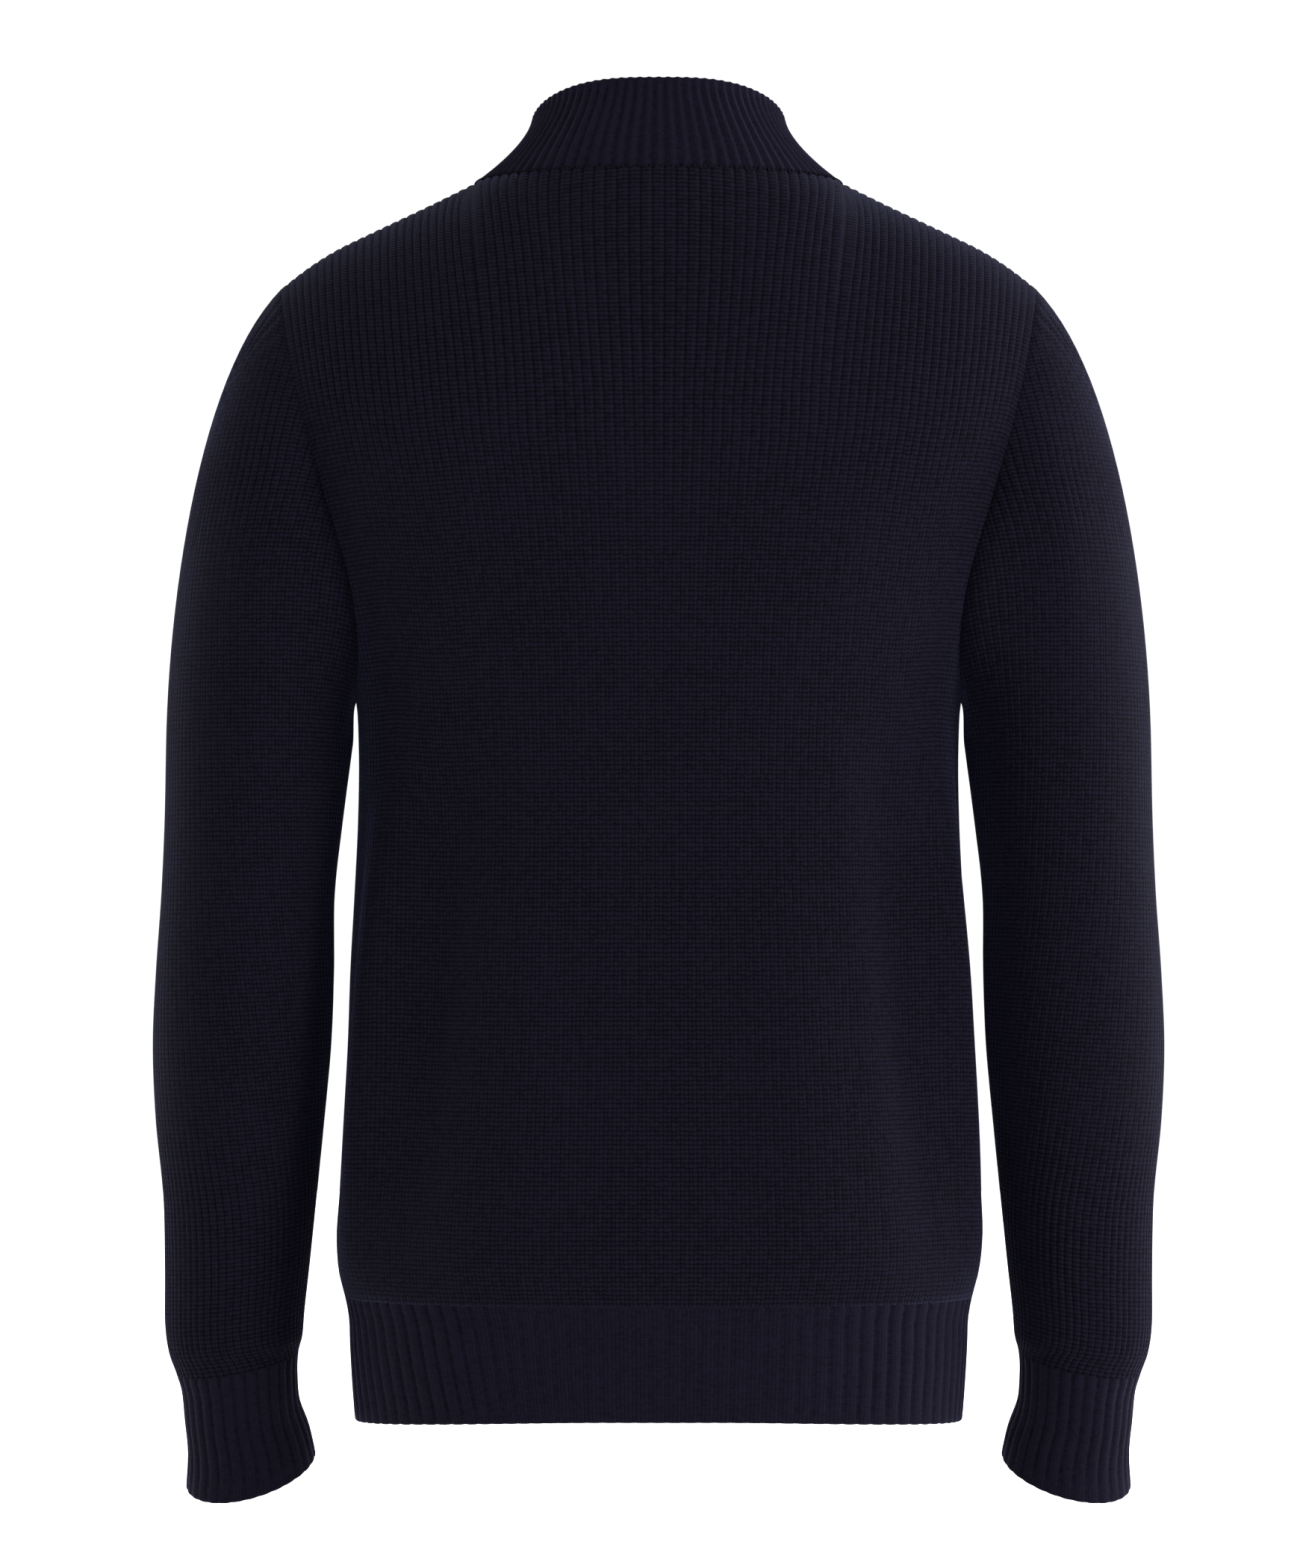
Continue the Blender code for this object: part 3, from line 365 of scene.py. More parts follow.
        # A real hair is finer than a render shows, so the hairs are drawn coarser
        hairs = {"Vector": solid, "Scale": 1 / (self.hair_mm * MM), "Detail": 3.0, "Roughness": 0.65}
        clouds = {"Vector": solid, "Scale": 1 / (self.cloud_mm * MM), "Detail": 3.0}
        found = {
            "rib": parts[0],
            "course": parts[1],
            "standing": standing,
            "drift_across": drift[0],
            "drift_along": drift[1],
            "hairs": add_node(tree, "ShaderNodeTexNoise", hairs).outputs["Fac"],
            "clouds": add_node(tree, "ShaderNodeTexNoise", clouds).outputs["Fac"],
        }
        self.work_out(tree, found, self.place_steps())
        cell = add_node(tree, "ShaderNodeCombineXYZ", {0: found["wale_number"], 1: found["course_number"]}).outputs[0]
        chance = add_node(tree, "ShaderNodeTexWhiteNoise", {"Vector": cell}, noise_dimensions="2D")
        opening = {"Value": found["beside_rib"], "From Max": self.valley}
        found["chance"] = chance.outputs["Value"]
        found["open"] = add_node(tree, "ShaderNodeMapRange", opening, interpolation_type="SMOOTHSTEP").outputs[0]
        self.work_out(tree, found, self.light_steps())
        # The yarn's colour on the loops, mixed towards the painted shade colour in the grooves, rungs and hollows
        dyes = {0: found["lit"], 6: linear(self.hollow_hex), 7: linear(self.loop_hex)}
        colour = add_node(tree, "ShaderNodeMix", dyes, data_type="RGBA")
        bump = add_node(tree, "ShaderNodeBump", {"Height": found["height"], "Distance": MM, "Strength": 1.0})
        matt = {"Roughness": 0.95, "Specular IOR Level": 0.03}
        # Loose fibres on the yarn glow faintly at grazing angles
        glow = {"Sheen Weight": 0.05, "Sheen Roughness": 0.28, "Sheen Tint": linear(self.sheen_hex)}
        set_inputs(tree, shader, {"Base Color": colour.outputs[2], "Normal": bump.outputs[0], **matt, **glow})
        return made

    @staticmethod
    def work_out(tree: bpy.types.NodeTree, found: dict[str, bpy.types.NodeSocket], steps: Sequence[Step]) -> None:
        """Adds the nodes of a sum, and files each step's result under its name.

        Args:
            tree: The node tree.
            found: The sockets so far, by name.
            steps: The steps.
        """
        for name, operation, *terms in steps:
            inputs = {number: found.get(term, term) for number, term in enumerate(terms)}
            found[name] = add_node(tree, "ShaderNodeMath", inputs, operation=operation).outputs[0]


@dataclass(frozen=True)
class LinkingYarnFinish:
    """The same dark yarn, drawn tight in the linking stitches."""

    name: str = "linking_yarn"
    light_hex: str = "#0c0b12"
    dark_hex: str = "#020204"
    hair_mm: float = 2 / 3

    def make(self) -> bpy.types.Material:
        """Makes the material.

        Returns:
            The material.
        """
        made, tree, shader = new_material(self.name)
        solid = add_node(tree, "ShaderNodeTexCoord").outputs["Object"]
        noise = {"Vector": solid, "Scale": 1 / (self.hair_mm * MM), "Detail": 3.0}
        hairs = add_node(tree, "ShaderNodeTexNoise", noise)
        dyes = {0: hairs.outputs["Fac"], 6: linear(self.dark_hex), 7: linear(self.light_hex)}
        colour = add_node(tree, "ShaderNodeMix", dyes, data_type="RGBA")
        set_inputs(tree, shader, {"Base Color": colour.outputs[2], "Roughness": 0.95, "Specular IOR Level": 0.03})
        return made


@dataclass(frozen=True)
class WovenTapeFinish:
    """Polyester zip tape, woven in a fine twill: matt.

    Its threads, about 0.5 mm apart, are too fine to show, so they are drawn as bands 3.1 mm wide.
    """

    name: str = "polyester_twill_tape"
    # The lighter colour is the bands' raised tops; the darker one is painted shade in their low parts
    light_hex: str = "#1d1c28"
    dark_hex: str = "#0d0c14"
    band_mm: float = 3.1416
    band_height_mm: float = 0.15
    twill_degrees: float = 35

    def make(self) -> bpy.types.Material:
        """Makes the material.

        Returns:
            The material.
        """
        made, tree, shader = new_material(self.name)
        solid = add_node(tree, "ShaderNodeTexCoord").outputs["Object"]
        slant = (0.0, math.radians(self.twill_degrees), 0.0)
        turned = add_node(tree, "ShaderNodeMapping", {"Vector": solid, "Rotation": slant}).outputs[0]
        # At a scale of 1 a wave texture's band is 2 pi / 20 of a unit wide
        scale = 2 * math.pi / 20 / (self.band_mm * MM)
        bands = {"Vector": turned, "Scale": scale, "Distortion": 0.6, "Detail": 1.0}
        waves = add_node(tree, "ShaderNodeTexWave", bands)
        # Painted shade: the colour darkens with the bands' bump, towards the low part of each band
        dyes = {0: waves.outputs["Fac"], 6: linear(self.dark_hex), 7: linear(self.light_hex)}
        colour = add_node(tree, "ShaderNodeMix", dyes, data_type="RGBA")
        bump = add_node(tree, "ShaderNodeBump", {"Height": waves.outputs["Fac"], "Distance": self.band_height_mm * MM})
        matt = {"Roughness": 0.8, "Specular IOR Level": 0.3}
        set_inputs(tree, shader, {"Base Color": colour.outputs[2], "Normal": bump.outputs[0], **matt})
        return made


@dataclass(frozen=True)
class PlatedZincFinish:
    """Zinc alloy, die-cast, tumbled and plated dark: a soft metallic gleam, paler where it rubs."""

    name: str = "dark_plated_zinc"
    plate_hex: str = "#3c3c42"
    rub_hex: str = "#5a5a60"
    grain_mm: float = 0.6
    grain_height_mm: float = 0.03
    roughness: tuple[float, float] = (0.28, 0.46)

    def make(self) -> bpy.types.Material:
        """Makes the material.

        Returns:
            The material.
        """
        made, tree, shader = new_material(self.name)
        solid = add_node(tree, "ShaderNodeTexCoord").outputs["Object"]
        spots = {"Vector": solid, "Scale": 1 / (self.grain_mm * MM), "Detail": 4.0}
        grain = add_node(tree, "ShaderNodeTexNoise", spots)
        plating = {0: grain.outputs["Fac"], 6: linear(self.plate_hex), 7: linear(self.rub_hex)}
        colour = add_node(tree, "ShaderNodeMix", plating, data_type="RGBA")
        low, high = self.roughness
        rough = add_node(tree, "ShaderNodeMapRange", {"Value": grain.outputs["Fac"], "To Min": low, "To Max": high})
        bump = add_node(tree, "ShaderNodeBump", {"Height": grain.outputs["Fac"], "Distance": self.grain_height_mm * MM})
        metal = {"Metallic": 1.0, "Roughness": rough.outputs[0]}
        set_inputs(tree, shader, {"Base Color": colour.outputs[2], "Normal": bump.outputs[0], **metal})
        return made


@dataclass(frozen=True)
class StudioWhiteFinish:
    """Matt white studio paper, lit evenly."""

    name: str = "studio_paper"
    paper_hex: str = "#ffffff"
    glow: float = 0.6

    def make(self) -> bpy.types.Material:
        """Makes the material.

        Returns:
            The material.
        """
        made, tree, shader = new_material(self.name)
        white = linear(self.paper_hex)
        lit = {"Emission Color": white, "Emission Strength": self.glow}
        set_inputs(tree, shader, {"Base Color": white, "Roughness": 0.9, **lit})
        return made


# ---------------------------------------------------------------- the garment's form


@dataclass(frozen=True)
class Section:
    """The torso's girth at a height. Above the underarm the half width is that of the whole girth."""

    height: float
    half_width: float
    back_depth: float
    front_depth: float


@dataclass(frozen=True)
class TorsoFold:
    """A long soft fold. Girth is 0 at the centre back, 1 at the side seam and 2 at the centre front."""

    arm: Arm
    low_girth: float
    low_z: float
    high_girth: float
    high_z: float
    half_width: float
    depth: float


@dataclass(frozen=True)
class SeamCrease:
    """The soft crease that runs along an armhole seam over the underarm."""

    depth: float = 0.0036
    reach: float = 0.007
    foot: tuple[float, float] = (-0.275, -0.245)
    head: tuple[float, float] = (-0.13, -0.17)

    def sink(self, points: Grid, distance: Grid) -> Grid:
        """Points beside the seam, drawn in where the crease runs along it.

        Args:
            points: Points of the body or of the sleeve.
            distance: How far each lies from the seam, in metres.

        Returns:
            The points moved towards the middle of the cloth's depth.
        """
        there = soft_step(*self.foot, points[..., 2]) * soft_step(*self.head, points[..., 2])
        drawn = self.depth * np.exp(-distance / self.reach) * there
        return points - np.sign(points[..., 1:2]) * drawn[..., None] * np.array([0.0, 1.0, 0.0])


@dataclass(frozen=True)
class TorsoForm:
    """The outer form of back and fronts, as worn, from the hem to the neck and shoulder seams."""

    sections: tuple[Section, ...] = (
        Section(-0.659, 0.1626, 0.1050, 0.1060),
        Section(-0.640, 0.1641, 0.1075, 0.1085),
        Section(-0.620, 0.1653, 0.1095, 0.1105),
        Section(-0.605, 0.1660, 0.1105, 0.1115),
        Section(-0.596, 0.1678, 0.1125, 0.1135),
        Section(-0.584, 0.1709, 0.1160, 0.1165),
        Section(-0.566, 0.1724, 0.1180, 0.1185),
        Section(-0.540, 0.1708, 0.1170, 0.1190),
        Section(-0.500, 0.1686, 0.1140, 0.1185),
        Section(-0.460, 0.1664, 0.1110, 0.1180),
        Section(-0.420, 0.1650, 0.1090, 0.1180),
        Section(-0.380, 0.1628, 0.1080, 0.1190),
        Section(-0.340, 0.1609, 0.1090, 0.1210),
        Section(-0.300, 0.1606, 0.1120, 0.1235),
        Section(-0.280, 0.1616, 0.1138, 0.1245),
        Section(-0.260, 0.1656, 0.1155, 0.1250),
        Section(-0.240, 0.1722, 0.1170, 0.1250),
        Section(-0.220, 0.1800, 0.1180, 0.1245),
        Section(-0.200, 0.1880, 0.1185, 0.1230),
        Section(-0.180, 0.1955, 0.1180, 0.1205),
        Section(-0.160, 0.2026, 0.1170, 0.1170),
        Section(-0.135, 0.2115, 0.1150, 0.1120),
    )
    folds: tuple[TorsoFold, ...] = (
        TorsoFold(Arm.LEFT, 0.80, -0.588, 0.72, -0.320, 0.11, 0.0080),
        TorsoFold(Arm.LEFT, 0.60, -0.588, 0.51, -0.300, 0.16, -0.0095),
        TorsoFold(Arm.LEFT, 0.30, -0.585, 0.34, -0.360, 0.18, 0.0030),
        TorsoFold(Arm.RIGHT, 0.86, -0.588, 0.76, -0.290, 0.12, 0.0075),
        TorsoFold(Arm.RIGHT, 0.67, -0.588, 0.56, -0.290, 0.15, -0.0085),
        TorsoFold(Arm.RIGHT, 0.36, -0.585, 0.30, -0.360, 0.18, 0.0030),
        TorsoFold(Arm.LEFT, 1.22, -0.588, 1.34, -0.320, 0.15, 0.0055),
        TorsoFold(Arm.LEFT, 1.46, -0.588, 1.58, -0.310, 0.16, -0.0055),
        TorsoFold(Arm.RIGHT, 1.20, -0.588, 1.30, -0.320, 0.14, 0.0055),
        TorsoFold(Arm.RIGHT, 1.42, -0.588, 1.54, -0.310, 0.16, -0.0055),
    )
    hem_top: float = -0.5960
    hem_bottom: float = -0.6590
    underarm: float = -0.2780
    yoke: float = -0.1350
    neck_half_width: float = 0.0980
    neck_depths: tuple[float, float] = (0.0720, 0.0880)
    neck_rises: tuple[float, float] = (0.0048, -0.0420)
    neck_share: float = 6 / 14
    corner_share: float = 0.455
    neck_evenness: float = 0.80
    widening: float = 0.19
    widening_rate: float = 1.6
    side_ease: float = 0.095
    shoulder_end: float = 0.2020
    shoulder_slope: float = 0.475
    shoulder_round_start: float = 0.165
    shoulder_round_rate: float = 5.2
    armhole_depths: tuple[float, float] = (0.066, 0.060)
    armhole_wide_height: float = -0.190
    armhole_rows: tuple[int, int] = (90, 70)
    zip_half_gap: float = 0.0046
    squareness: float = 2.4
    front_neck_squareness: float = 1.5
    corner_turn: tuple[float, float] = (0.1, 0.95)
    shoulder_turn: float = 0.28
    yoke_fullness: float = 1.08
    yoke_ease: float = 0.11
    ease_steps: tuple[tuple[float, float], ...] = ((-1.5, 0.10), (-0.75, 0.24), (0.0, 0.32), (0.75, 0.24), (1.5, 0.10))
    dense: int = 420

    def table(self, name: str) -> Grid:
        """One column of the sections."""
        return np.array([getattr(row, name) for row in self.sections])

    def armhole_depth(self, z: float, facing: Facing) -> float:
        """How far the armhole's edge lies behind or before the side seam at a height.

        Args:
            z: The height.
            facing: Back or front.

        Returns:
            The distance.
        """
        widest = self.armhole_depths[facing is Facing.FRONT]
        drop = min(max((self.armhole_wide_height - z) / (self.armhole_wide_height - self.underarm), 0.0), 1.0)
        return widest * math.sqrt(1 - drop**2)

    def girth_line(self, z: float, facing: Facing) -> tuple[Grid, Grid]:
        """A dense half girth at one height, from the panel's centre to its left edge.

        Args:
            z: The height.
            facing: Back or front.

        Returns:
            The line's points, and the distance along it to each.
        """
        keys = self.table("height")
        depth = through(keys, self.table("back_depth" if facing is Facing.BACK else "front_depth"), z)
        reach = through(keys, self.table("half_width"), z)
        last = math.acos((self.armhole_depth(z, facing) / depth) ** (self.squareness / 2))
        angle = np.linspace(0, last, self.dense)
        x = reach * np.sin(angle) ** (2 / self.squareness)
        y = facing.value * depth * np.clip(np.cos(angle), 0, 1) ** (2 / self.squareness)
        line = np.stack([x, y, np.full(self.dense, z)], axis=1)
        return line, run_lengths(line)

    def section_row(self, z: float, shares: Grid, facing: Facing) -> Grid:
        """Points across a panel at one height. Shares run from 0 at the panel's centre to 1 at its left edge."""
        line, lengths = self.girth_line(z, facing)
        return read_line(line, lengths / lengths[-1], shares)

    def neck_seam(self, turn: Grid, facing: Facing) -> Grid:
        """The neck seam.

        Args:
            turn: Places along it: 0 at the panel's centre and a quarter turn at the shoulder seam.
            facing: Back or front.

        Returns:
            Its points.
        """
        front = facing is Facing.FRONT
        fall = np.clip(np.cos(turn), 0, 1) ** (self.front_neck_squareness if front else 1.0)
        x = self.neck_half_width * np.sin(turn)
        y = facing.value * self.neck_depths[front] * np.cos(turn)
        return np.stack([x, y, self.neck_rises[front] * fall], axis=-1)

    def top_edge(self, share: Grid, facing: Facing) -> Grid:
        """The panel's top edge: the neck seam, then the shoulder seam out to the armhole.

        Args:
            share: Places across the half panel, 0 at its centre and 1 at its left edge.
            facing: Back or front.

        Returns:
            Its points.
        """
        neck = self.neck_seam(np.clip(share / self.neck_share, 0, 1) * math.pi / 2, facing)
        along = np.clip((share - self.neck_share) / (1 - self.neck_share), 0, 1)
        x = self.neck_half_width + along * (self.shoulder_end - self.neck_half_width)
        past = np.clip(x - self.shoulder_round_start, 0, None)
        height = -self.shoulder_slope * (x - self.neck_half_width) - self.shoulder_round_rate * past**2
        shoulder = np.stack([x, np.zeros_like(x), height], axis=-1)
        return np.where((share <= self.neck_share)[:, None], neck, shoulder)

    def top_direction(self, share: Grid, facing: Facing) -> Grid:
        """Which way a rib arrives at the top edge: up the neck, and over the shoulder.

        Args:
            share: Places across the half panel, 0 at its centre and 1 at its left edge.
            facing: Back or front.

        Returns:
            The directions.
        """
        sign = facing.value
        up = np.array([0.0, -0.42, 0.91]) if facing is Facing.BACK else np.array([0.0, 0.37, 0.93])
        corner = np.array([-0.12, -0.98 * sign, 0.12])
        over = np.array([0.0, -1.0 * sign, 0.0])
        first, last = (turn * self.neck_share for turn in self.corner_turn)
        to_corner = soft_step(first, last, share)[:, None]
        to_over = soft_step(self.neck_share, self.neck_share + self.shoulder_turn, share)[:, None]
        return unit((up * (1 - to_corner) + corner * to_corner) * (1 - to_over) + over * to_over)

    def yoke_curves(self, climb: float, shares: Grid, facing: Facing) -> Grid:
        """Points across the yoke.

        Args:
            climb: The height, 0 at its foot and 1 at the top edge.
            shares: Places across the half panel, 0 at its centre and 1 at its left edge.
            facing: Back or front.

        Returns:
            The points.
        """
        foot = self.section_row(self.yoke, shares, facing)
        below = self.section_row(self.yoke - 0.01, shares, facing)
        top = self.top_edge(shares, facing)
        chord = np.linalg.norm(top - foot, axis=1, keepdims=True)
        leave = unit(foot - below) * chord * self.yoke_fullness
        arrive = self.top_direction(shares, facing) * chord * self.yoke_fullness
        return hermite(foot, leave, top, arrive, climb)

    def panel_row(self, key: float, shares: Grid, facing: Facing) -> Grid:
        """Points across a panel above the underarm.

        Args:
            key: The row key: 0 at the underarm, 1 at the yoke's foot, 2 at the top edge.
            shares: Places across the half panel, 0 at its centre and 1 at its left edge.
            facing: Back or front.

        Returns:
            The points.
        """
        if key <= 1:
            return self.section_row(self.underarm + key * (self.yoke - self.underarm), shares, facing)
        climb = key - 1
        spread = self.yoke_ease * 4 * climb * (1 - climb) * (1 - shares**3)
        total = np.zeros((len(shares), 3))
        for step, weight in self.ease_steps:
            at = shares + step * spread
            points = self.yoke_curves(climb, np.abs(at), facing)
            points[:, 0] *= np.where(at < 0, -1, 1)
            total += weight * points
        return total

    def widened(self, shares: Grid, key: float) -> Grid:
        """Where evenly spaced ribs lie once the knit has widened towards the yoke's foot."""
        grown = min(key, 1.0) ** self.widening_rate
        return shares * (1 + self.widening * grown) * (1 - self.side_ease * grown * shares**2)

    def half_girths(self, key: float, facing: Facing) -> tuple[float, float]:
        """The panel's half width at the underarm, and at a row key or the yoke's foot, whichever is lower."""
        here = self.underarm + min(key, 1) * (self.yoke - self.underarm)
        return self.girth_line(self.underarm, facing)[1][-1], self.girth_line(here, facing)[1][-1]

    def last_rib(self, key: float, facing: Facing) -> float:
        """The rib that meets the armhole at a row.

        Args:
            key: The row key: 0 at the underarm, 1 at the yoke's foot, 2 at the top edge.
            facing: Back or front.

        Returns:
            Its share of the girth at the underarm.
        """
        whole, here = self.half_girths(key, facing)
        even = np.linspace(0, 1.2, 121)
        return min(1.0, float(np.interp(1, self.widened(even, key), even)) * here / whole)

    def rib_shares(self, ribs: Grid, key: float, facing: Facing) -> Grid:
        """Where ribs lie across a panel above the underarm: they run out one by one at the armhole.

        Args:
            ribs: Each rib's share of the girth at the underarm.
            key: The row key: 0 at the underarm, 1 at the yoke's foot, 2 at the top edge.
            facing: Back or front.

        Returns:
            Each rib's share of the panel's width at that row.
        """
        whole, here = self.half_girths(key, facing)
        shares = np.minimum(self.widened(ribs * whole / here, key), 1)
        if key <= 1:
            return shares
        neck = np.clip(shares / self.corner_share, 0, 1)
        round_neck = self.neck_evenness * np.arcsin(neck) * 2 / math.pi
        turned = (round_neck + (1 - self.neck_evenness) * neck) * self.neck_share
        beside = self.neck_share + (shares - self.corner_share) / (1 - self.corner_share) * (1 - self.neck_share)
        top = np.where(shares < self.corner_share, turned, beside)
        return shares + (top - shares) * (0.5 * (key - 1) + 0.5 * soft_step(1, 2, key))

    def push(self, girth: Grid, z: Grid, arm: Arm) -> Grid:
        """How far the large folds push the cloth out.

        Args:
            girth: Places round the body, as the folds count them.
            z: Their heights.
            arm: Which side of the body.

        Returns:
            The distance for each place.
        """
        total = np.zeros_like(girth)
        for fold in self.folds:
            if fold.arm is arm:
                along = np.clip((z - fold.low_z) / (fold.high_z - fold.low_z), 0, 1)
                centre = fold.low_girth + along * (fold.high_girth - fold.low_girth)
                across = np.clip(np.abs(girth - centre) / fold.half_width, 0, 1)
                total += fold.depth * np.cos(across * math.pi / 2) ** 2 * np.sin(along * math.pi) ** 0.7
        return total

    def zip_shift(self, shares: Grid) -> Grid:
        """How far a front's cloth is moved out from the middle, to leave the zip its gap."""
        return self.zip_half_gap * np.clip(1 - shares / self.neck_share, 0, 1)

    def armhole(self, facing: Facing) -> tuple[Grid, Grid, Grid]:
        """The armhole's edge from the top down.

        Args:
            facing: Back or front.

        Returns:
            The edge's points, the body's outward normals there, and each one's share of the edge's length.
        """
        low, high = (np.linspace(0, 1, rows) for rows in self.armhole_rows)
        keys = np.concatenate([low**2, 1 + high[1:]])
        beside_edge = np.array([0.94, 0.97, 1.0])
        grid = np.stack([self.panel_row(key, beside_edge, facing) for key in keys])
        normals = grid_normals(grid) * facing.value
        edge, out = grid[::-1, -1], normals[::-1, -1]
        lengths = run_lengths(edge)
        return edge, out, lengths / lengths[-1]


@dataclass(frozen=True)
class Ring:
    """The sleeve's girth at one place down the arm."""

    inner_x: float
    inner_z: float
    outer_x: float
    outer_z: float
    middle_y: float
    half_depth: float


@dataclass(frozen=True)
class ArmForm:
    """The outer form of sleeve and cuff on the left arm."""

    torso: TorsoForm
    rings: tuple[Ring, ...] = (
        Ring(0.1638, -0.3010, 0.2638, -0.3010, 0.0000, 0.0640),
        Ring(0.1690, -0.3410, 0.2645, -0.3410, 0.0015, 0.0615),
        Ring(0.1734, -0.3810, 0.2663, -0.3810, 0.0015, 0.0590),
        Ring(0.1738, -0.4210, 0.2692, -0.4210, 0.0000, 0.0570),
        Ring(0.1754, -0.4610, 0.2711, -0.4610, -0.0035, 0.0550),
        Ring(0.1792, -0.5010, 0.2698, -0.5010, -0.0085, 0.0525),
        Ring(0.1834, -0.5410, 0.2661, -0.5420, -0.0145, 0.0495),
        Ring(0.1875, -0.5790, 0.2655, -0.5830, -0.0200, 0.0465),
        Ring(0.1904, -0.6040, 0.2656, -0.6110, -0.0235, 0.0445),
        Ring(0.1916, -0.6180, 0.2636, -0.6270, -0.0255, 0.0430),
        Ring(0.1938, -0.6270, 0.2596, -0.6385, -0.0265, 0.0400),
        Ring(0.1944, -0.6380, 0.2568, -0.6480, -0.0280, 0.0375),
        Ring(0.1932, -0.6540, 0.2554, -0.6630, -0.0300, 0.0360),
        Ring(0.1880, -0.6690, 0.2538, -0.6805, -0.0318, 0.0365),
        Ring(0.1846, -0.6838, 0.2548, -0.7002, -0.0330, 0.0385),
    )
    sleeve_end: int = 10
    cuff_tilt: float = 0.27
    head_fullness: tuple[float, float] = (0.66, 0.06)
    leave_top: tuple[float, float, float] = (0.70, 0.0, -0.714)
    leave_bottom: tuple[float, float, float] = (0.50, 0.0, -0.87)
    leave_side: tuple[float, float, float] = (0.58, 0.42, -0.70)
    armhole_warp: float = 1.25
    least_leave: float = 0.42
    tuck: float = 0.0012
    around: int = 360
    pitches: tuple[float, ...] = (0.00395, 0.00405, 0.0044, 0.0044, 0.0041, 0.0040)
    twists: tuple[float, float] = (0.006, 0.012)
    twist_rings: tuple[float, float] = (0.5, 7.0)

    @cached_property
    def turns(self) -> Grid:
        """Dense turns round the arm, from the inner seam over the front, the outside and the back to it again."""
        return np.linspace(-math.pi, math.pi, self.around + 1)

    def ring(self, number: float, turns: Grid) -> Grid:
        """Points round the arm.

        Args:
            number: The ring number, which may lie between two.
            turns: Turns round the arm.

        Returns:
            The points.
        """
        keys = np.arange(len(self.rings), dtype=float)
        tables = {name: np.array([getattr(ring, name) for ring in self.rings]) for name in Ring.__dataclass_fields__}
        at = {name: through(keys, values, number) for name, values in tables.items()}
        inner = np.array([at["inner_x"], at["middle_y"], at["inner_z"]])
        outer = np.array([at["outer_x"], at["middle_y"], at["outer_z"]])
        middle = (inner + outer) / 2
        step = 0.01
        y_slope = (through(keys, tables["middle_y"], number) - through(keys, tables["middle_y"], number - step)) / step
        z_slope = (through(keys, tables["outer_z"], number) - through(keys, tables["outer_z"], number - step)) / step
        tilt = y_slope / z_slope + self.cuff_tilt * soft_step(self.sleeve_end, len(self.rings) - 1, number)
        back = np.array([0, at["half_depth"], -at["half_depth"] * tilt])
        return middle + np.cos(turns)[:, None] * (outer - middle) + np.sin(turns)[:, None] * back

    def rib_pitch(self, numbers: Grid) -> Grid:
        """The ribs' spacing at ring numbers of the arm."""
        return through(np.arange(len(self.pitches), dtype=float) * 2, np.array(self.pitches), numbers)

    def twist(self, arm: Arm, numbers: Grid) -> Grid:
        """How far the ribs have turned in towards the body at ring numbers of the arm."""
        return self.twists[arm is Arm.RIGHT] * soft_step(*self.twist_rings, numbers)

    def side_lengths(self, ring: Grid) -> tuple[float, float]:
        """How long the two halves of a dense ring are.

        Args:
            ring: The dense ring.

        Returns:
            The lengths of the front half and of the back half.
        """
        lengths = run_lengths(ring)
        middle = self.around // 2
        return float(lengths[middle]), float(lengths[-1] - lengths[middle])

    def upright_ribs(self, points: Grid, ring: Grid) -> Grid:
        """How far round the arm's first ring points above it lie, from its outermost place.

        Args:
            points: Points of the sleeve's head.
            ring: The arm's first ring.

        Returns:
            The distance along the ring, negative over the front.
        """
        centre = (ring[0] + ring[self.around // 2]) / 2
        half = np.abs(ring[self.around // 2] - centre)[0], np.abs(ring[:, 1] - centre[1]).max()
        angle = np.arctan2((points[..., 1] - centre[1]) / half[1], (points[..., 0] - centre[0]) / half[0])
        return np.interp(angle, self.turns, run_lengths(ring)) - self.side_lengths(ring)[0]

    def head(self, shares: Sequence[float]) -> Grid:
        """Dense rings from the armhole to the arm's first ring.

        Args:
            shares: The rings' places, 0 at the armhole and 1 at the first ring.

        Returns:
            One ring of points a share.
        """
        turns = self.turns
        at = (np.abs(turns) / math.pi) ** self.armhole_warp
        start = np.zeros((len(turns), 3))
        body_out = np.zeros((len(turns), 3))
        for facing in Facing:
            edge, out, keys = self.torso.armhole(facing)
            mine = turns * facing.value >= 0
            start[mine] = read_line(edge, keys, at[mine])
            body_out[mine] = unit(read_line(out, keys, at[mine]))
        end = self.ring(0.0, turns)
        chord = np.linalg.norm(end - start, axis=1, keepdims=True)
        top = ((1 + np.cos(turns)) / 2)[:, None] ** 1.5
        bottom = np.clip((1 - np.cos(turns)) / 2, 0, 1)[:, None] ** 1.5
        side = (np.sin(turns) ** 2)[:, None]
        level = np.zeros_like(turns)
        out_x, back_y, down_z = self.leave_side
        sideways = np.stack([level + out_x, back_y * np.tanh(6 * np.sin(turns)), level + down_z], axis=1)
        leave = unit(top * np.array(self.leave_top) + bottom * np.array(self.leave_bottom) + side * sideways)
        leaning_out = np.sum(leave * body_out, axis=1, keepdims=True)
        leave = unit(leave + body_out * np.clip(self.least_leave - leaning_out, 0, None) * np.sqrt(bottom))
        down = unit(self.ring(0.2, turns) - end)
        tucked = start - body_out * self.tuck - leave * self.tuck / 2
        bulge = leave * chord * (self.head_fullness[0] + self.head_fullness[1] * top)
        rings = [hermite(start, bulge, end, down * chord, t) for t in shares]
        return np.stack([tucked, *rings])


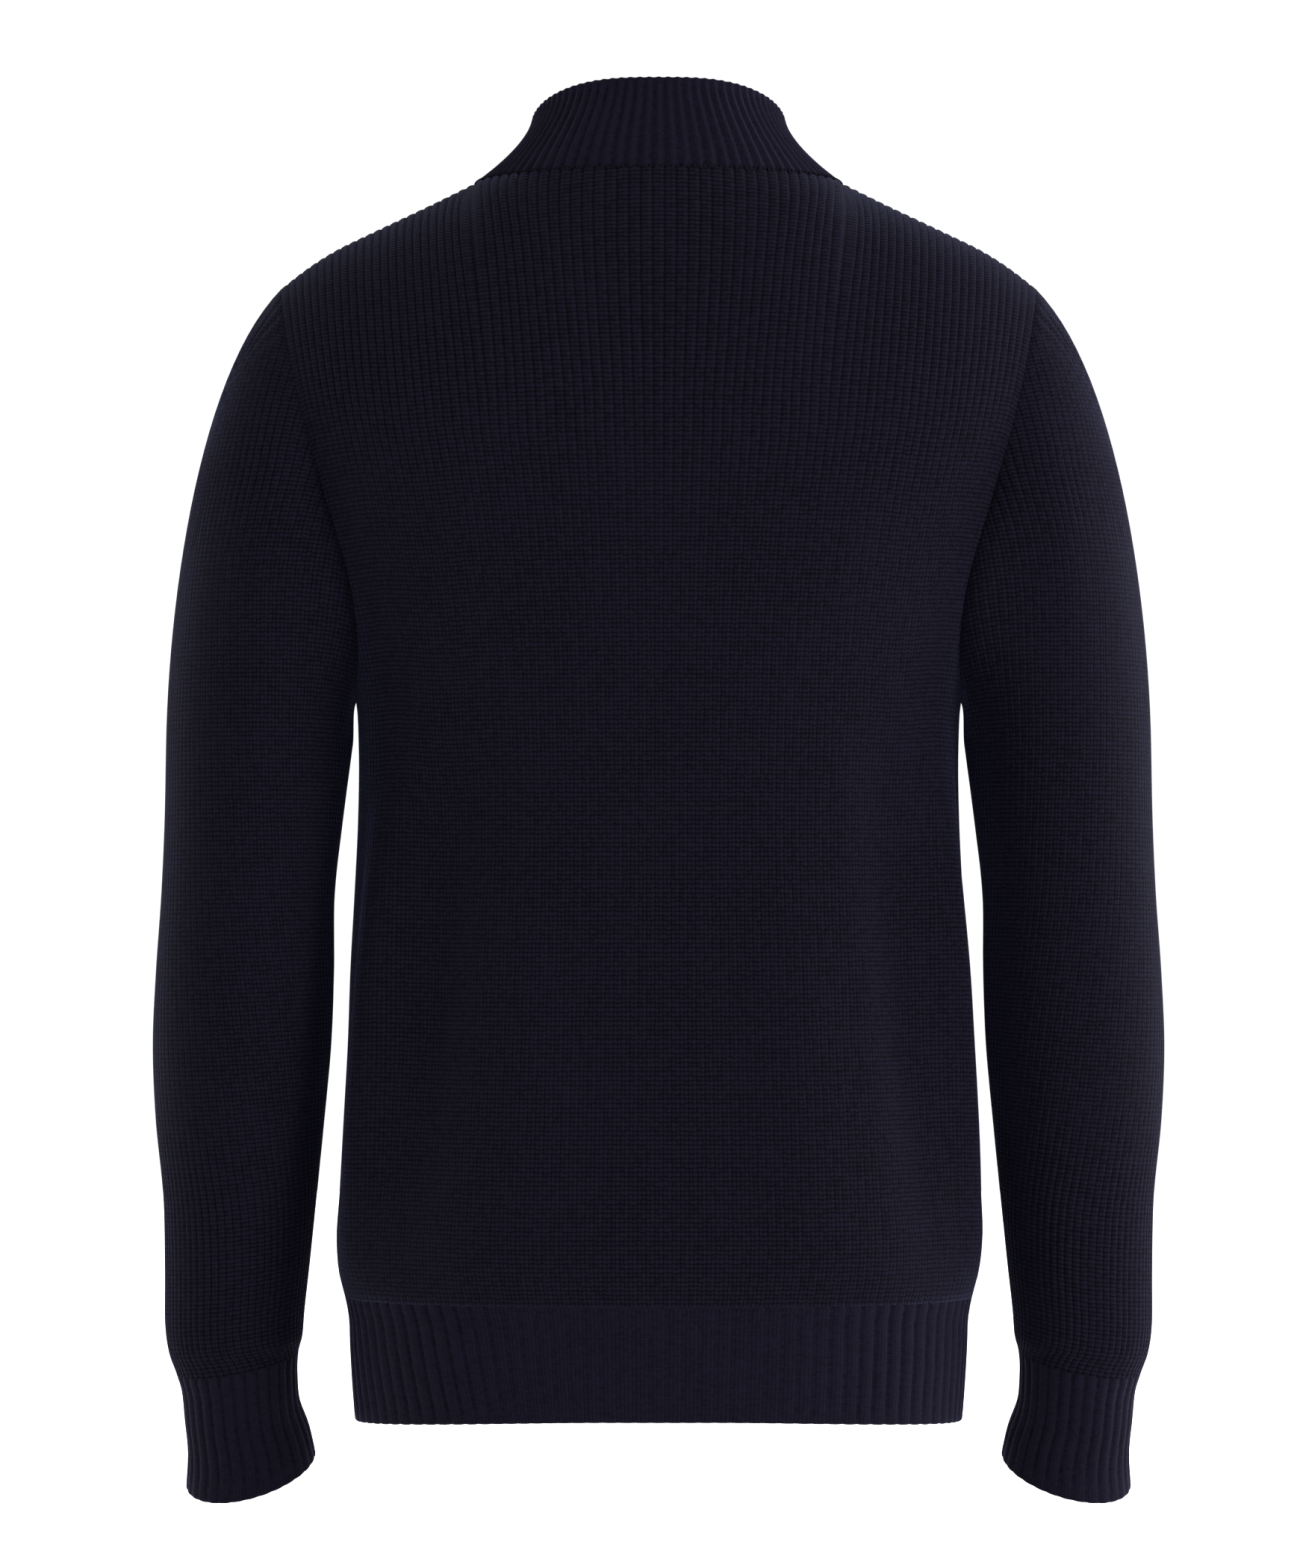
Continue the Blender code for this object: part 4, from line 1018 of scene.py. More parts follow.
@dataclass(frozen=True)
class CollarForm:
    """The outer form of the stand collar, which leans in from the neck seam to a lower, narrower rim."""

    torso: TorsoForm
    rim_half_width: float = 0.0680
    rim_half_depth: float = 0.0600
    rim_centre_y: float = -0.0080
    rim_lean: float = 0.402
    rim_ease: float = 0.0116
    back_top: float = 0.0540
    leave_side: tuple[float, float] = (0.80, 0.60)
    leave_middle: tuple[float, float] = (0.37, 0.93)
    arrive_out: tuple[float, float] = (0.10, 0.35)
    arrive_back: float = 0.07
    arrive_up: float = 0.95
    arrive_fullness: float = 0.9
    zip_reach: float = 0.8

    def grid(self, shares: Grid, climbs: Grid) -> Grid:
        """The collar's outer grid.

        Args:
            shares: Places along the collar, 0 at the left zip edge and 1 at the right one, round the back.
            climbs: The grid's rows, 0 at the neck seam and 1 at the rim.

        Returns:
            The points, one row a climb.
        """
        turns = (shares - 0.5) * 2 * math.pi
        gap = self.torso.zip_half_gap
        seam = np.where(
            (np.abs(turns) <= math.pi / 2)[:, None],
            self.torso.neck_seam(np.abs(turns), Facing.BACK),
            self.torso.neck_seam(math.pi - np.abs(turns), Facing.FRONT),
        )
        seam[:, 0] += gap * np.clip(np.abs(turns) / (math.pi / 2) - 1, 0, 1)
        seam[:, 0] *= -np.sign(turns)
        rim_y = self.rim_centre_y + self.rim_half_depth * np.cos(turns)
        before_back = self.rim_centre_y + self.rim_half_depth - rim_y
        rim_z = self.back_top - self.rim_lean * before_back**2 / (before_back + self.rim_ease)
        rim = np.stack([-self.rim_half_width * np.sin(turns), rim_y, rim_z], axis=1)
        chord = np.linalg.norm(rim - seam, axis=1, keepdims=True)
        level = np.zeros(len(turns))
        side_in, side_up = self.leave_side
        lean_in = np.stack([-side_in * np.sign(seam[:, 0]), level, level + side_up], axis=1)
        middle_in, middle_up = self.leave_middle
        up_neck = np.stack([level, -middle_in * np.cos(turns), level + middle_up], axis=1)
        at_side = (np.sin(turns) ** 2)[:, None]
        leave = unit(lean_in * at_side + up_neck * (1 - at_side))
        side_out, back_out = self.arrive_out
        level_way = [side_out * np.sin(turns), self.arrive_back - back_out * np.cos(turns)]
        arrive = unit(np.stack([*level_way, level + self.arrive_up], axis=1)) * chord * self.arrive_fullness
        grid = np.stack([hermite(seam, leave * chord, rim, arrive, t) for t in climbs])
        beside_zip = np.clip(1 - (math.pi - np.abs(turns)) / self.zip_reach, 0, 1)
        grid[..., 0] += -np.sign(turns) * gap * beside_zip * climbs[:, None]
        return grid


# ---------------------------------------------------------------- knitted walls


@dataclass(frozen=True)
class RibRelief:
    """How a rib stands out of the cloth, for the node tree that raises it."""

    depth: float
    sharpness: float


class RibTree:
    """The node tree that sinks the cloth between the ribs.

    A point's rib attribute counts ribs across the cloth, whole numbers on the crests. Its share attribute
    says how much of the relief it takes, and its outward attribute which way the relief stands."""

    def __init__(self) -> None:
        """Builds the tree."""
        tree = bpy.data.node_groups.new("rib_relief", "GeometryNodeTree")
        face = tree.interface
        face.new_socket("Geometry", in_out="INPUT", socket_type="NodeSocketGeometry")
        depth = face.new_socket("Depth", in_out="INPUT", socket_type="NodeSocketFloat")
        sharp = face.new_socket("Sharpness", in_out="INPUT", socket_type="NodeSocketFloat")
        yarn = face.new_socket("Knit", in_out="INPUT", socket_type="NodeSocketMaterial")
        face.new_socket("Geometry", in_out="OUTPUT", socket_type="NodeSocketGeometry")
        self.depth_key, self.sharp_key, self.knit_key = depth.identifier, sharp.identifier, yarn.identifier
        inputs = add_node(tree, "NodeGroupInput").outputs
        rib, share = (
            add_node(tree, "GeometryNodeInputNamedAttribute", {"Name": name}, data_type="FLOAT").outputs[0]
            for name in ("rib", "share")
        )
        out = add_node(tree, "GeometryNodeInputNamedAttribute", {"Name": "outward"}, data_type="FLOAT_VECTOR")
        depth = rib
        for operation, *terms in (
            ("MULTIPLY", 2 * math.pi),
            ("COSINE",),
            ("MULTIPLY_ADD", -0.5, 0.5),
            ("POWER", inputs["Sharpness"]),
            ("MULTIPLY", inputs["Depth"]),
            ("MULTIPLY", share),
            ("MULTIPLY", -1.0),
        ):
            depth = add_node(tree, "ShaderNodeMath", dict(enumerate([depth, *terms])), operation=operation).outputs[0]
        move = add_node(tree, "ShaderNodeVectorMath", {0: out.outputs[0], "Scale": depth}, operation="SCALE")
        moved = add_node(tree, "GeometryNodeSetPosition", {"Geometry": inputs["Geometry"], "Offset": move.outputs[0]})
        real = add_node(tree, "GeometryNodeRealizeInstances", {0: moved.outputs[0]})
        dyed = add_node(tree, "GeometryNodeSetMaterial", {"Geometry": real.outputs[0], "Material": inputs["Knit"]})
        add_node(tree, "NodeGroupOutput", {0: dyed.outputs[0]})
        self.tree = tree

    def raise_ribs(self, made: bpy.types.Object, relief: RibRelief, knit: bpy.types.Material) -> None:
        """Runs the tree on an object and keeps the result as its plain mesh.

        Args:
            made: The object.
            relief: Its ribs.
            knit: Its material.
        """
        modifier = made.modifiers.new("ribs", "NODES")
        modifier.node_group = self.tree
        modifier[self.depth_key] = relief.depth
        modifier[self.sharp_key] = relief.sharpness
        modifier[self.knit_key] = knit
        settle(made)


def settle(made: bpy.types.Object) -> None:
    """Turns an object's modifiers into its plain mesh, and removes them.

    Args:
        made: The object.
    """
    bpy.context.view_layer.update()
    graph = bpy.context.evaluated_depsgraph_get()
    mesh = bpy.data.meshes.new_from_object(made.evaluated_get(graph), preserve_all_data_layers=True, depsgraph=graph)
    made.modifiers.clear()
    old = made.data
    made.data = mesh
    bpy.data.meshes.remove(old)
    mesh.name = made.name


@dataclass
class KnitWall:
    """A knitted wall between an outer grid of points and an inner face one cloth thickness inside it.

    Columns run along the ribs. Where ribs run out at a seam their points coincide and are welded."""

    name: str
    outer: Grid
    normals: Grid
    rib: Grid
    course: Grid
    share: Grid
    thickness: float
    ring: bool = False
    round_first: bool = False
    round_last: bool = False
    inner_columns: int = 4
    inner_rows: int = 2
    rim_turns: tuple[float, ...] = (30, 60, 90, 120, 150, 180)
    rim_course_mm: float = 2.4
    rim_fade: float = 1.2
    one_place: float = 2e-7
    sharp_degrees: float = 85

    def roll_rim(self, first: bool) -> None:
        """Adds the rows that roll an open rim over from the outer to the inner face.

        Args:
            first: True for the rim beyond the first row, False for the one beyond the last.
        """
        half = self.thickness / 2
        here, before, sign = (0, 1, -1) if first else (-1, -2, 1)
        edge, out = self.outer[here].copy(), self.normals[here]
        run = unit(edge - self.outer[before])
        run = unit(run - out * np.sum(run * out, axis=1, keepdims=True))
        edge -= run * half
        self.outer[here] = edge
        added = {"outer": [], "normals": [], "course": [], "share": [], "rib": []}
        for turn in self.rim_turns:
            angle = math.radians(turn)
            way = out * math.cos(angle) + run * math.sin(angle)
            added["outer"].append(edge - out * half + way * half)
            added["normals"].append(way)
            added["course"].append(self.course[here] + sign * half * angle / MM / self.rim_course_mm)
            added["share"].append(self.share[here] * max(0.0, math.cos(angle / 2)) ** self.rim_fade)
            added["rib"].append(self.rib[here])
        for name, rows in added.items():
            block, kept = np.stack(rows), getattr(self, name)
            setattr(self, name, np.concatenate([block[::-1], kept] if first else [kept, block]))

    def make(self) -> bpy.types.Object:
        """The wall as a closed mesh object, smooth, before its ribs are raised.

        Returns:
            The object.
        """
        first_row = len(self.rim_turns) if self.round_first else 0
        rows = range(first_row, first_row + len(self.outer))
        for first, wanted in ((True, self.round_first), (False, self.round_last)):
            if wanted:
                self.roll_rim(first)
        picked_rows = sorted({*list(rows)[:: self.inner_rows], rows[0], rows[-1]})
        width = self.outer.shape[1]
        picked_columns = sorted({*range(0, width, self.inner_columns), width - 1})
        pick = np.ix_(picked_rows, picked_columns)
        inner = self.outer[pick] - self.normals[pick] * self.thickness
        points = np.concatenate([self.outer.reshape(-1, 3), inner.reshape(-1, 3)])
        places = np.stack([self.rib, self.course], axis=-1)
        uv = np.concatenate([places.reshape(-1, 2), places[pick].reshape(-1, 2)])
        attributes = {
            "rib": np.concatenate([self.rib.reshape(-1), self.rib[pick].reshape(-1)]),
            "share": np.concatenate([self.share.reshape(-1), np.zeros(inner.shape[0] * inner.shape[1])]),
        }
        outward = np.concatenate([self.normals.reshape(-1, 3), self.normals[pick].reshape(-1, 3)])
        numbers = np.arange(self.outer.shape[0] * width).reshape(self.outer.shape[:2])
        inside = numbers.size + np.arange(inner.shape[0] * inner.shape[1]).reshape(inner.shape[:2])
        quads = [self.quads(numbers), self.quads(inside)[:, ::-1]]
        edges = [(numbers[0], inside[0]), (inside[-1], numbers[-1])]
        if not self.ring:
            edges += [(inside[:, 0], numbers[:, 0]), (numbers[:, -1], inside[:, -1])]
        faces = [tuple(quad) for quad in np.concatenate(quads).tolist()]
        for first, second in edges:
            faces += strip(first.tolist(), second.tolist())
        return self.welded(points, faces, uv, attributes, outward)

    @staticmethod
    def quads(numbers: Grid) -> Grid:
        """Quads of a grid of point numbers."""
        corners = (numbers[:-1, :-1], numbers[:-1, 1:], numbers[1:, 1:], numbers[1:, :-1])
        return np.stack([corner.reshape(-1) for corner in corners], axis=1)

    def welded(
        self, points: Grid, faces: list[tuple[int, ...]], uv: Grid, attributes: dict[str, Grid], outward: Grid
    ) -> bpy.types.Object:
        """A mesh object with points at one place made one.

        Args:
            points: The points.
            faces: Each face's point numbers.
            uv: Each point's place in the knit.
            attributes: Numbers that each point carries, by name.
            outward: Which way each point's relief stands.

        Returns:
            The object.
        """
        keys = np.round(points / self.one_place).astype(np.int64)
        _, first, same = np.unique(keys, axis=0, return_index=True, return_inverse=True)
        same = same.reshape(-1)
        kept, places = [], []
        for face in faces:
            corners = [k for n, k in enumerate(face) if same[k] != same[face[n - 1]]]
            if len({int(same[k]) for k in corners}) == len(corners) >= 3:
                kept.append([int(same[k]) for k in corners])
                places.extend(corners)
        mesh = bpy.data.meshes.new(self.name)
        mesh.from_pydata(points[first].tolist(), [], kept)
        layer = mesh.uv_layers.new(name="knit")
        layer.data.foreach_set("uv", uv[np.array(places)].astype(np.float32).reshape(-1))
        for name, values in attributes.items():
            mesh.attributes.new(name, "FLOAT", "POINT").data.foreach_set("value", values[first].astype(np.float32))
        vectors = mesh.attributes.new("outward", "FLOAT_VECTOR", "POINT")
        vectors.data.foreach_set("vector", outward[first].astype(np.float32).reshape(-1))
        sheet = bmesh.new()
        sheet.from_mesh(mesh)
        bmesh.ops.recalc_face_normals(sheet, faces=sheet.faces)
        if sheet.calc_volume(signed=True) < 0:
            bmesh.ops.reverse_faces(sheet, faces=sheet.faces)
        sheet.to_mesh(mesh)
        sheet.free()
        mesh.shade_smooth()
        mesh.set_sharp_from_angle(angle=math.radians(self.sharp_degrees))
        return placed(self.name, mesh)


def strip(first: list[int], second: list[int]) -> list[tuple[int, int, int]]:
    """Triangles between two lines of point numbers of any lengths that run side by side.

    Args:
        first: The first line.
        second: The second line.

    Returns:
        The triangles.
    """
    faces = []
    i = j = 0
    while i < len(first) - 1 or j < len(second) - 1:
        next_i, next_j = (i + 1) / max(len(first) - 1, 1), (j + 1) / max(len(second) - 1, 1)
        if j == len(second) - 1 or (i < len(first) - 1 and next_i <= next_j):
            faces.append((first[i + 1], first[i], second[j]))
            i += 1
        else:
            faces.append((second[j], second[j + 1], first[i]))
            j += 1
    return faces


def placed(name: str, mesh: bpy.types.Mesh) -> bpy.types.Object:
    """An object of a mesh, in the scene, under a name of its own.

    Args:
        name: Its name.
        mesh: The mesh.

    Returns:
        The object.
    """
    made = bpy.data.objects.new(f"{name}_cloth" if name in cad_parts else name, mesh)
    bpy.context.scene.collection.objects.link(made)
    return made


@dataclass(frozen=True)
class Cut:
    """The flat cut of a knitted piece, before it was worn: its box and its area, in metres."""

    width: float
    length: float
    area: float


@dataclass(frozen=True)
class Knitwear:
    """The knitted pieces: back, fronts, hem bands, collar, sleeves and cuffs.

    The flat fields say how much of the relief is left where the knit is pulled flat."""

    torso: TorsoForm
    arm: ArmForm
    neck: CollarForm
    body_knit: bpy.types.Material
    band_knit: bpy.types.Material
    collar_knit: bpy.types.Material
    ribs: RibTree
    crease: SeamCrease = SeamCrease()
    wall: float = 0.0024
    rib_wall: float = 0.0030
    course_mm: float = 2.4
    rib_course_mm: float = 1.3
    body_ribs: int = 52
    columns: int = 4
    hem_ribs: int = 26
    collar_ribs: int = 84
    cuff_ribs: int = 29
    band_columns: int = 8
    band_inner_columns: int = 8
    lower_rows: int = 54
    upper_rows: int = 66
    upper_crowding: float = 1.35
    hem_rows: int = 14
    collar_rows: int = 16
    head_rows: int = 26
    sleeve_rows: int = 72
    cuff_rows: int = 18
    hem_lean: float = 0.010
    hem_lean_right: float = 0.15
    hem_lean_girths: tuple[tuple[float, float], ...] = ((0.15, 0.5), (1.0, 0.8))
    hem_rib_width: float = 0.0087
    body_relief: RibRelief = RibRelief(0.0010, 2.4)
    hem_relief: RibRelief = RibRelief(0.0012, 2.2)
    cuff_relief: RibRelief = RibRelief(0.0011, 2.0)
    collar_relief: RibRelief = RibRelief(0.0012, 0.8)
    hem_lift: float = 0.0020
    hem_drop: float = 0.0030
    hem_level: float = 0.1
    body_flat: float = 0.25
    body_standing: tuple[float, float] = (-0.21, -0.09)
    sleeve_flat: float = 0.30
    sleeve_standing: tuple[tuple[float, float], ...] = ((-0.21, -0.15), (-0.48, -0.55))
    seam_flat: float = 0.25
    seam_ribs: float = 0.5
    side_ribs: float = 0.6
    hem_flat: float = 0.35
    hem_standing: tuple[float, float] = (0.25, 0.6)
    hem_foot_flat: float = 0.40
    hem_foot: float = 0.15
    collar_rim_flat: float = 0.45
    collar_rim: float = 0.15
    cuff_flat: float = 0.30
    cuff_foot: float = 0.2
    head_lean: float = 0.45
    head_lean_heights: tuple[float, float] = (-0.15, -0.235)

    # ------------------------------------------------ body

    @property
    def upper_keys(self) -> Grid:
        """The row keys from the underarm to the top edge, closer together at the underarm."""
        return 2 * np.linspace(0, 1, self.upper_rows) ** self.upper_crowding

    def body_rows(self, shares: Grid, facing: Facing) -> list[Grid]:
        """Half-panel rows from the hem band to the top edge.

        Args:
            shares: Places across the half panel, 0 at its centre and 1 at its left edge.
            facing: Back or front.

        Returns:
            The rows.
        """
        form = self.torso
        heights = np.linspace(form.hem_top, form.underarm, self.lower_rows + 1)[:-1]
        low = [form.section_row(z, shares, facing) for z in heights]
        high = [form.panel_row(key, form.rib_shares(shares, key, facing), facing) for key in self.upper_keys]
        return low + high

    def kept_ribs(self, shares: Grid, facing: Facing) -> Grid:
        """How far the knit's points lie from the centre, ribs that have run out left out.

        Args:
            shares: Places across the half panel, 0 at its centre and 1 at its left edge.
            facing: Back or front.

        Returns:
            How many ribs each point of a half panel lies away.
        """
        rows = [shares] * self.lower_rows
        rows += [np.minimum(shares, self.torso.last_rib(key, facing)) for key in self.upper_keys]
        return np.stack(rows) * self.body_ribs

    def half_panel(self, facing: Facing, arm: Arm) -> tuple[Grid, Grid, Grid]:
        """The outer face of half a panel.

        Args:
            facing: Back or front.
            arm: Which side of the body.

        Returns:
            Its grid, the outward normals, and how many ribs from the centre each point lies.
        """
        shares = np.linspace(0, 1, self.body_ribs * self.columns + 1)
        grid = np.stack(self.body_rows(shares, facing))
        grid[..., 0] *= arm.value
        ribs = self.kept_ribs(shares, facing)
        out = panel_normals(grid) * facing.value * arm.value
        girth = ribs / self.body_ribs
        push = self.torso.push(girth if facing is Facing.BACK else 2 - girth, grid[..., 2], arm)
        grid = grid + out * push[..., None]
        steps = np.linalg.norm(np.diff(grid, axis=1), axis=2)
        to_seam = np.cumsum(steps[:, ::-1], axis=1)[:, ::-1]
        grid = self.crease.sink(grid, np.concatenate([to_seam, np.zeros((len(grid), 1))], axis=1))
        return grid, panel_normals(grid) * facing.value * arm.value, ribs

    def back(self) -> None:
        """The back, from armhole to armhole, in one piece."""
        (left, left_out, ribs), (right, right_out, _) = (self.half_panel(Facing.BACK, arm) for arm in Arm)
        middle = unit(left_out[:, :1] + right_out[:, :1])
        outer = np.concatenate([right[:, :0:-1], left], axis=1)
        normals = np.concatenate([right_out[:, :0:-1], middle, left_out[:, 1:]], axis=1)
        rib = np.concatenate([-ribs[:, :0:-1], ribs], axis=1)
        self.panel("back", outer, normals, rib, Cut(0.50, 0.68, 0.262))

    def front(self, arm: Arm) -> None:
        """One front, from the zip to the side.

        Args:
            arm: Which side of the body.
        """
        outer, normals, ribs = self.half_panel(Facing.FRONT, arm)
        outer[..., 0] += arm.value * self.torso.zip_shift(ribs / self.body_ribs)
        normals[:, 0, 0] = 0
        self.panel(f"front_{arm.word}", outer, unit(normals), ribs, Cut(0.25, 0.64, 0.127))

    def panel(self, name: str, outer: Grid, normals: Grid, rib: Grid, cut: Cut) -> None:
        """A body panel from its outer grid.

        Args:
            name: The node's name.
            outer: The outer grid.
            normals: Its normals.
            rib: How many ribs from the centre each point lies.
            cut: The flat cut.
        """
        normals = normals.copy()
        normals[0, :, 2] = 0
        normals[0] = unit(normals[0])
        course = course_lengths(outer) / MM / self.course_mm
        to_edge = np.abs(np.abs(rib) - np.abs(rib[:, -1:]))
        share = from_floor(self.body_flat, soft_step(*self.body_standing, outer[..., 2]))
        share = share * from_floor(self.seam_flat, soft_step(0, self.side_ribs, to_edge))
        above_underarm = slice(self.lower_rows + 1, None)
        share[above_underarm] *= soft_step(0, self.seam_ribs, to_edge[above_underarm])
        wall = KnitWall(name, outer, normals, rib, course, share, self.wall)
        self.knit(wall, self.body_relief, self.body_knit, "body_knit", cut)

    def knit(self, wall: KnitWall, relief: RibRelief, knit: bpy.types.Material, slot: str, cut: Cut) -> None:
        """Makes a wall, raises its ribs and puts it in its node's place.

        Args:
            wall: The wall, named for its node.
            relief: Its ribs.
            knit: Its material.
            slot: Not used.
            cut: Its flat cut. Not used.
        """
        made = wall.make()
        self.ribs.raise_ribs(made, relief, knit)
        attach(made, GARMENT)
        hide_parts(wall.name)
        LOG.info("%s: %d faces", made.name, len(made.data.polygons))

    # ------------------------------------------------ rib bands

    def hem_half(self, facing: Facing, arm: Arm) -> tuple[Grid, Grid]:
        """The outer face of half a hem band.

        Args:
            facing: Back or front.
            arm: Which side of the body.

        Returns:
            Its grid, and its columns' shares of the half girth.
        """
        shares = np.linspace(0, 1, self.hem_ribs * self.band_columns + 1)
        heights = np.linspace(self.torso.hem_bottom, self.torso.hem_top, self.hem_rows)
        grid = np.stack([self.torso.section_row(z, shares, facing) for z in heights])
        lift = (self.hem_lift + self.hem_drop) * (1 - soft_step(self.hem_level, 1, shares)) * (facing is Facing.BACK)
        down = (self.torso.hem_top - heights) / (self.torso.hem_top - self.torso.hem_bottom)
        grid[..., 2] -= (self.hem_drop - lift)[None] * down[:, None]
        return grid * np.array([arm.value, 1, 1]), shares

    def hem_back(self) -> None:
        """The back hem band."""
        (left, shares), (right, _) = (self.hem_half(Facing.BACK, arm) for arm in Arm)
        outer = np.concatenate([right[:, :0:-1], left], axis=1)
        rib = np.concatenate([-shares[:0:-1], shares]) * self.hem_ribs
        self.band("hem_back", outer, grid_normals(outer), rib, Cut(0.44, 0.064, 0.028), lean=self.hem_lean)

    def hem_front(self, arm: Arm) -> None:
        """A front hem band, from the zip to the side.

        Args:
            arm: Which side of the body.
        """
        outer, shares = self.hem_half(Facing.FRONT, arm)
        outer[..., 0] += arm.value * self.torso.zip_shift(shares)
        normals = grid_normals(outer) * -arm.value
        normals[:, 0, 0] = 0
        self.band(f"hem_front_{arm.word}", outer, unit(normals), shares * self.hem_ribs, Cut(0.22, 0.064, 0.014))

    def zip_line(self) -> "ZipLine":
        """The line along which the fronts and the collar meet.

        Returns:
            The line.
        """
        # Enough columns beside the zip to reach past its tape
        beside, collar_columns = slice(0, 40), 60
        hem, shares = self.hem_half(Facing.FRONT, Arm.LEFT)
        hem[..., 0] += self.torso.zip_shift(shares)
        front, _, ribs = self.half_panel(Facing.FRONT, Arm.LEFT)
        front[..., 0] += self.torso.zip_shift(ribs / self.body_ribs)
        edge = np.linspace(0, 1, self.collar_ribs * self.band_columns + 1)[:collar_columns]
        collar = self.neck.grid(edge, np.linspace(0, 1, self.collar_rows))
        return ZipLine([*hem[:, beside], *front[1:, beside], *collar[1:]], self.torso.zip_half_gap)

    def band(self, name: str, outer: Grid, normals: Grid, rib: Grid, cut: Cut, lean: float = 0.0) -> None:
        """A hem band from its outer grid, flat in the middle of the back and deeper ribbed towards the sides.

        Args:
            name: The node's name.
            outer: The outer grid.
            normals: Its normals.
            rib: How many ribs from the centre each column lies.
            cut: The flat cut.
            lean: How far the ribs near the left side run in towards the centre on their way down, in metres.
        """
        normals = normals.copy()
        normals[..., 2] = 0
        girth = np.abs(rib) / self.hem_ribs
        rise = np.linspace(0, 1, len(outer))[:, None]
        pull = np.where(rib > 0, 1.0, self.hem_lean_right)
        for start, end in self.hem_lean_girths:
            pull = pull * soft_step(start, end, girth)
        leaning = rib + (1 - rise) * pull * lean / self.hem_rib_width
        share = np.broadcast_to(from_floor(self.hem_flat, soft_step(*self.hem_standing, girth)), outer.shape[:2])
        share = share * from_floor(self.hem_foot_flat, soft_step(0, self.hem_foot, rise))
        course = course_lengths(outer) / MM / self.rib_course_mm
        wall = KnitWall(
            name, outer, unit(normals), leaning, course, share, self.rib_wall,
            round_first=True, inner_columns=self.band_inner_columns,
        )  # fmt: skip
        self.knit(wall, self.hem_relief, self.band_knit, "rib_knit", cut)

    def collar(self) -> None:
        """The stand collar, knitted in one piece from zip edge to zip edge."""
        shares = np.linspace(0, 1, self.collar_ribs * self.band_columns + 1)
        rise = np.linspace(0, 1, self.collar_rows)
        outer = self.neck.grid(shares, rise)
        normals = -grid_normals(outer)
        for edge in (0, -1):
            normals[:, edge, 0] = 0
        rib = np.broadcast_to(shares * self.collar_ribs, outer.shape[:2])
        course = course_lengths(outer) / MM / self.rib_course_mm
        standing = from_floor(self.collar_rim_flat, soft_step(1, 1 - self.collar_rim, rise))
        share = np.broadcast_to(standing[:, None], outer.shape[:2])
        wall = KnitWall(
            "collar", outer, unit(normals), rib, course, share, self.rib_wall,
            round_last=True, inner_columns=self.band_inner_columns,
        )  # fmt: skip
        self.knit(wall, self.collar_relief, self.collar_knit, "rib_knit", Cut(0.45, 0.066, 0.0262))

    # ------------------------------------------------ sleeves

    def tube_grids(self, arm: Arm, numbers: Grid, tube: Grid, out: Grid) -> tuple[Grid, Grid, Grid]:
        """The sleeve below its head, with its columns on the ribs, which run out one by one at the inner seam.

        Args:
            arm: Which sleeve it is.
            numbers: Each row's ring number of the arm.
            tube: The rows as dense rings.
            out: Their normals.

        Returns:
            The points, their normals, and how many ribs from the arm's outermost place each one lies.
        """
        pitches, twists = self.arm.rib_pitch(numbers), self.arm.twist(arm, numbers)
        spans = [self.arm.side_lengths(ring) for ring in tube]
        count = max(math.ceil((max(span) + abs(t)) / p * self.columns) for span, p, t in zip(spans, pitches, twists))
        steps = np.arange(-count, count + 1) / self.columns
        rows, ways, ribs = [], [], []
        for ring, way, pitch, twist, span in zip(tube, out, pitches, twists, spans):
            lengths = run_lengths(ring) - span[0]
            at = np.clip(steps * pitch + twist, lengths[0], lengths[-1])
            rows.append(read_line(ring, lengths, at))
            ways.append(unit(read_line(way, lengths, at)))
            ribs.append((at - twist) / pitch)
        return np.stack(rows), np.stack(ways), np.stack(ribs)

    def head_grids(self, head: Grid, out: Grid, ring: Grid, ribs: Grid) -> tuple[Grid, Grid, Grid]:
        """The sleeve's head, with its columns run on from the arm's first ring and its ribs leaning upright.

        Args:
            head: The head's rows as dense rings.
            out: Their normals.
            ring: The arm's first ring.
            ribs: How many ribs from the outermost place each of its columns lies.

        Returns:
            The points, their normals, and how many ribs from the outermost place each one lies.
        """
        form = self.arm
        pitch = form.rib_pitch(0.0)
        turns = np.interp(ribs * pitch, run_lengths(ring) - form.side_lengths(ring)[0], form.turns)
        points = np.stack([read_line(row, form.turns, turns) for row in head])
        ways = np.stack([unit(read_line(way, form.turns, turns)) for way in out])
        upright = form.upright_ribs(points, ring) / pitch
        weight = from_floor(self.head_lean, soft_step(*self.head_lean_heights, points[..., 2]))
        return points, ways, ribs[None] + (upright - ribs[None]) * weight

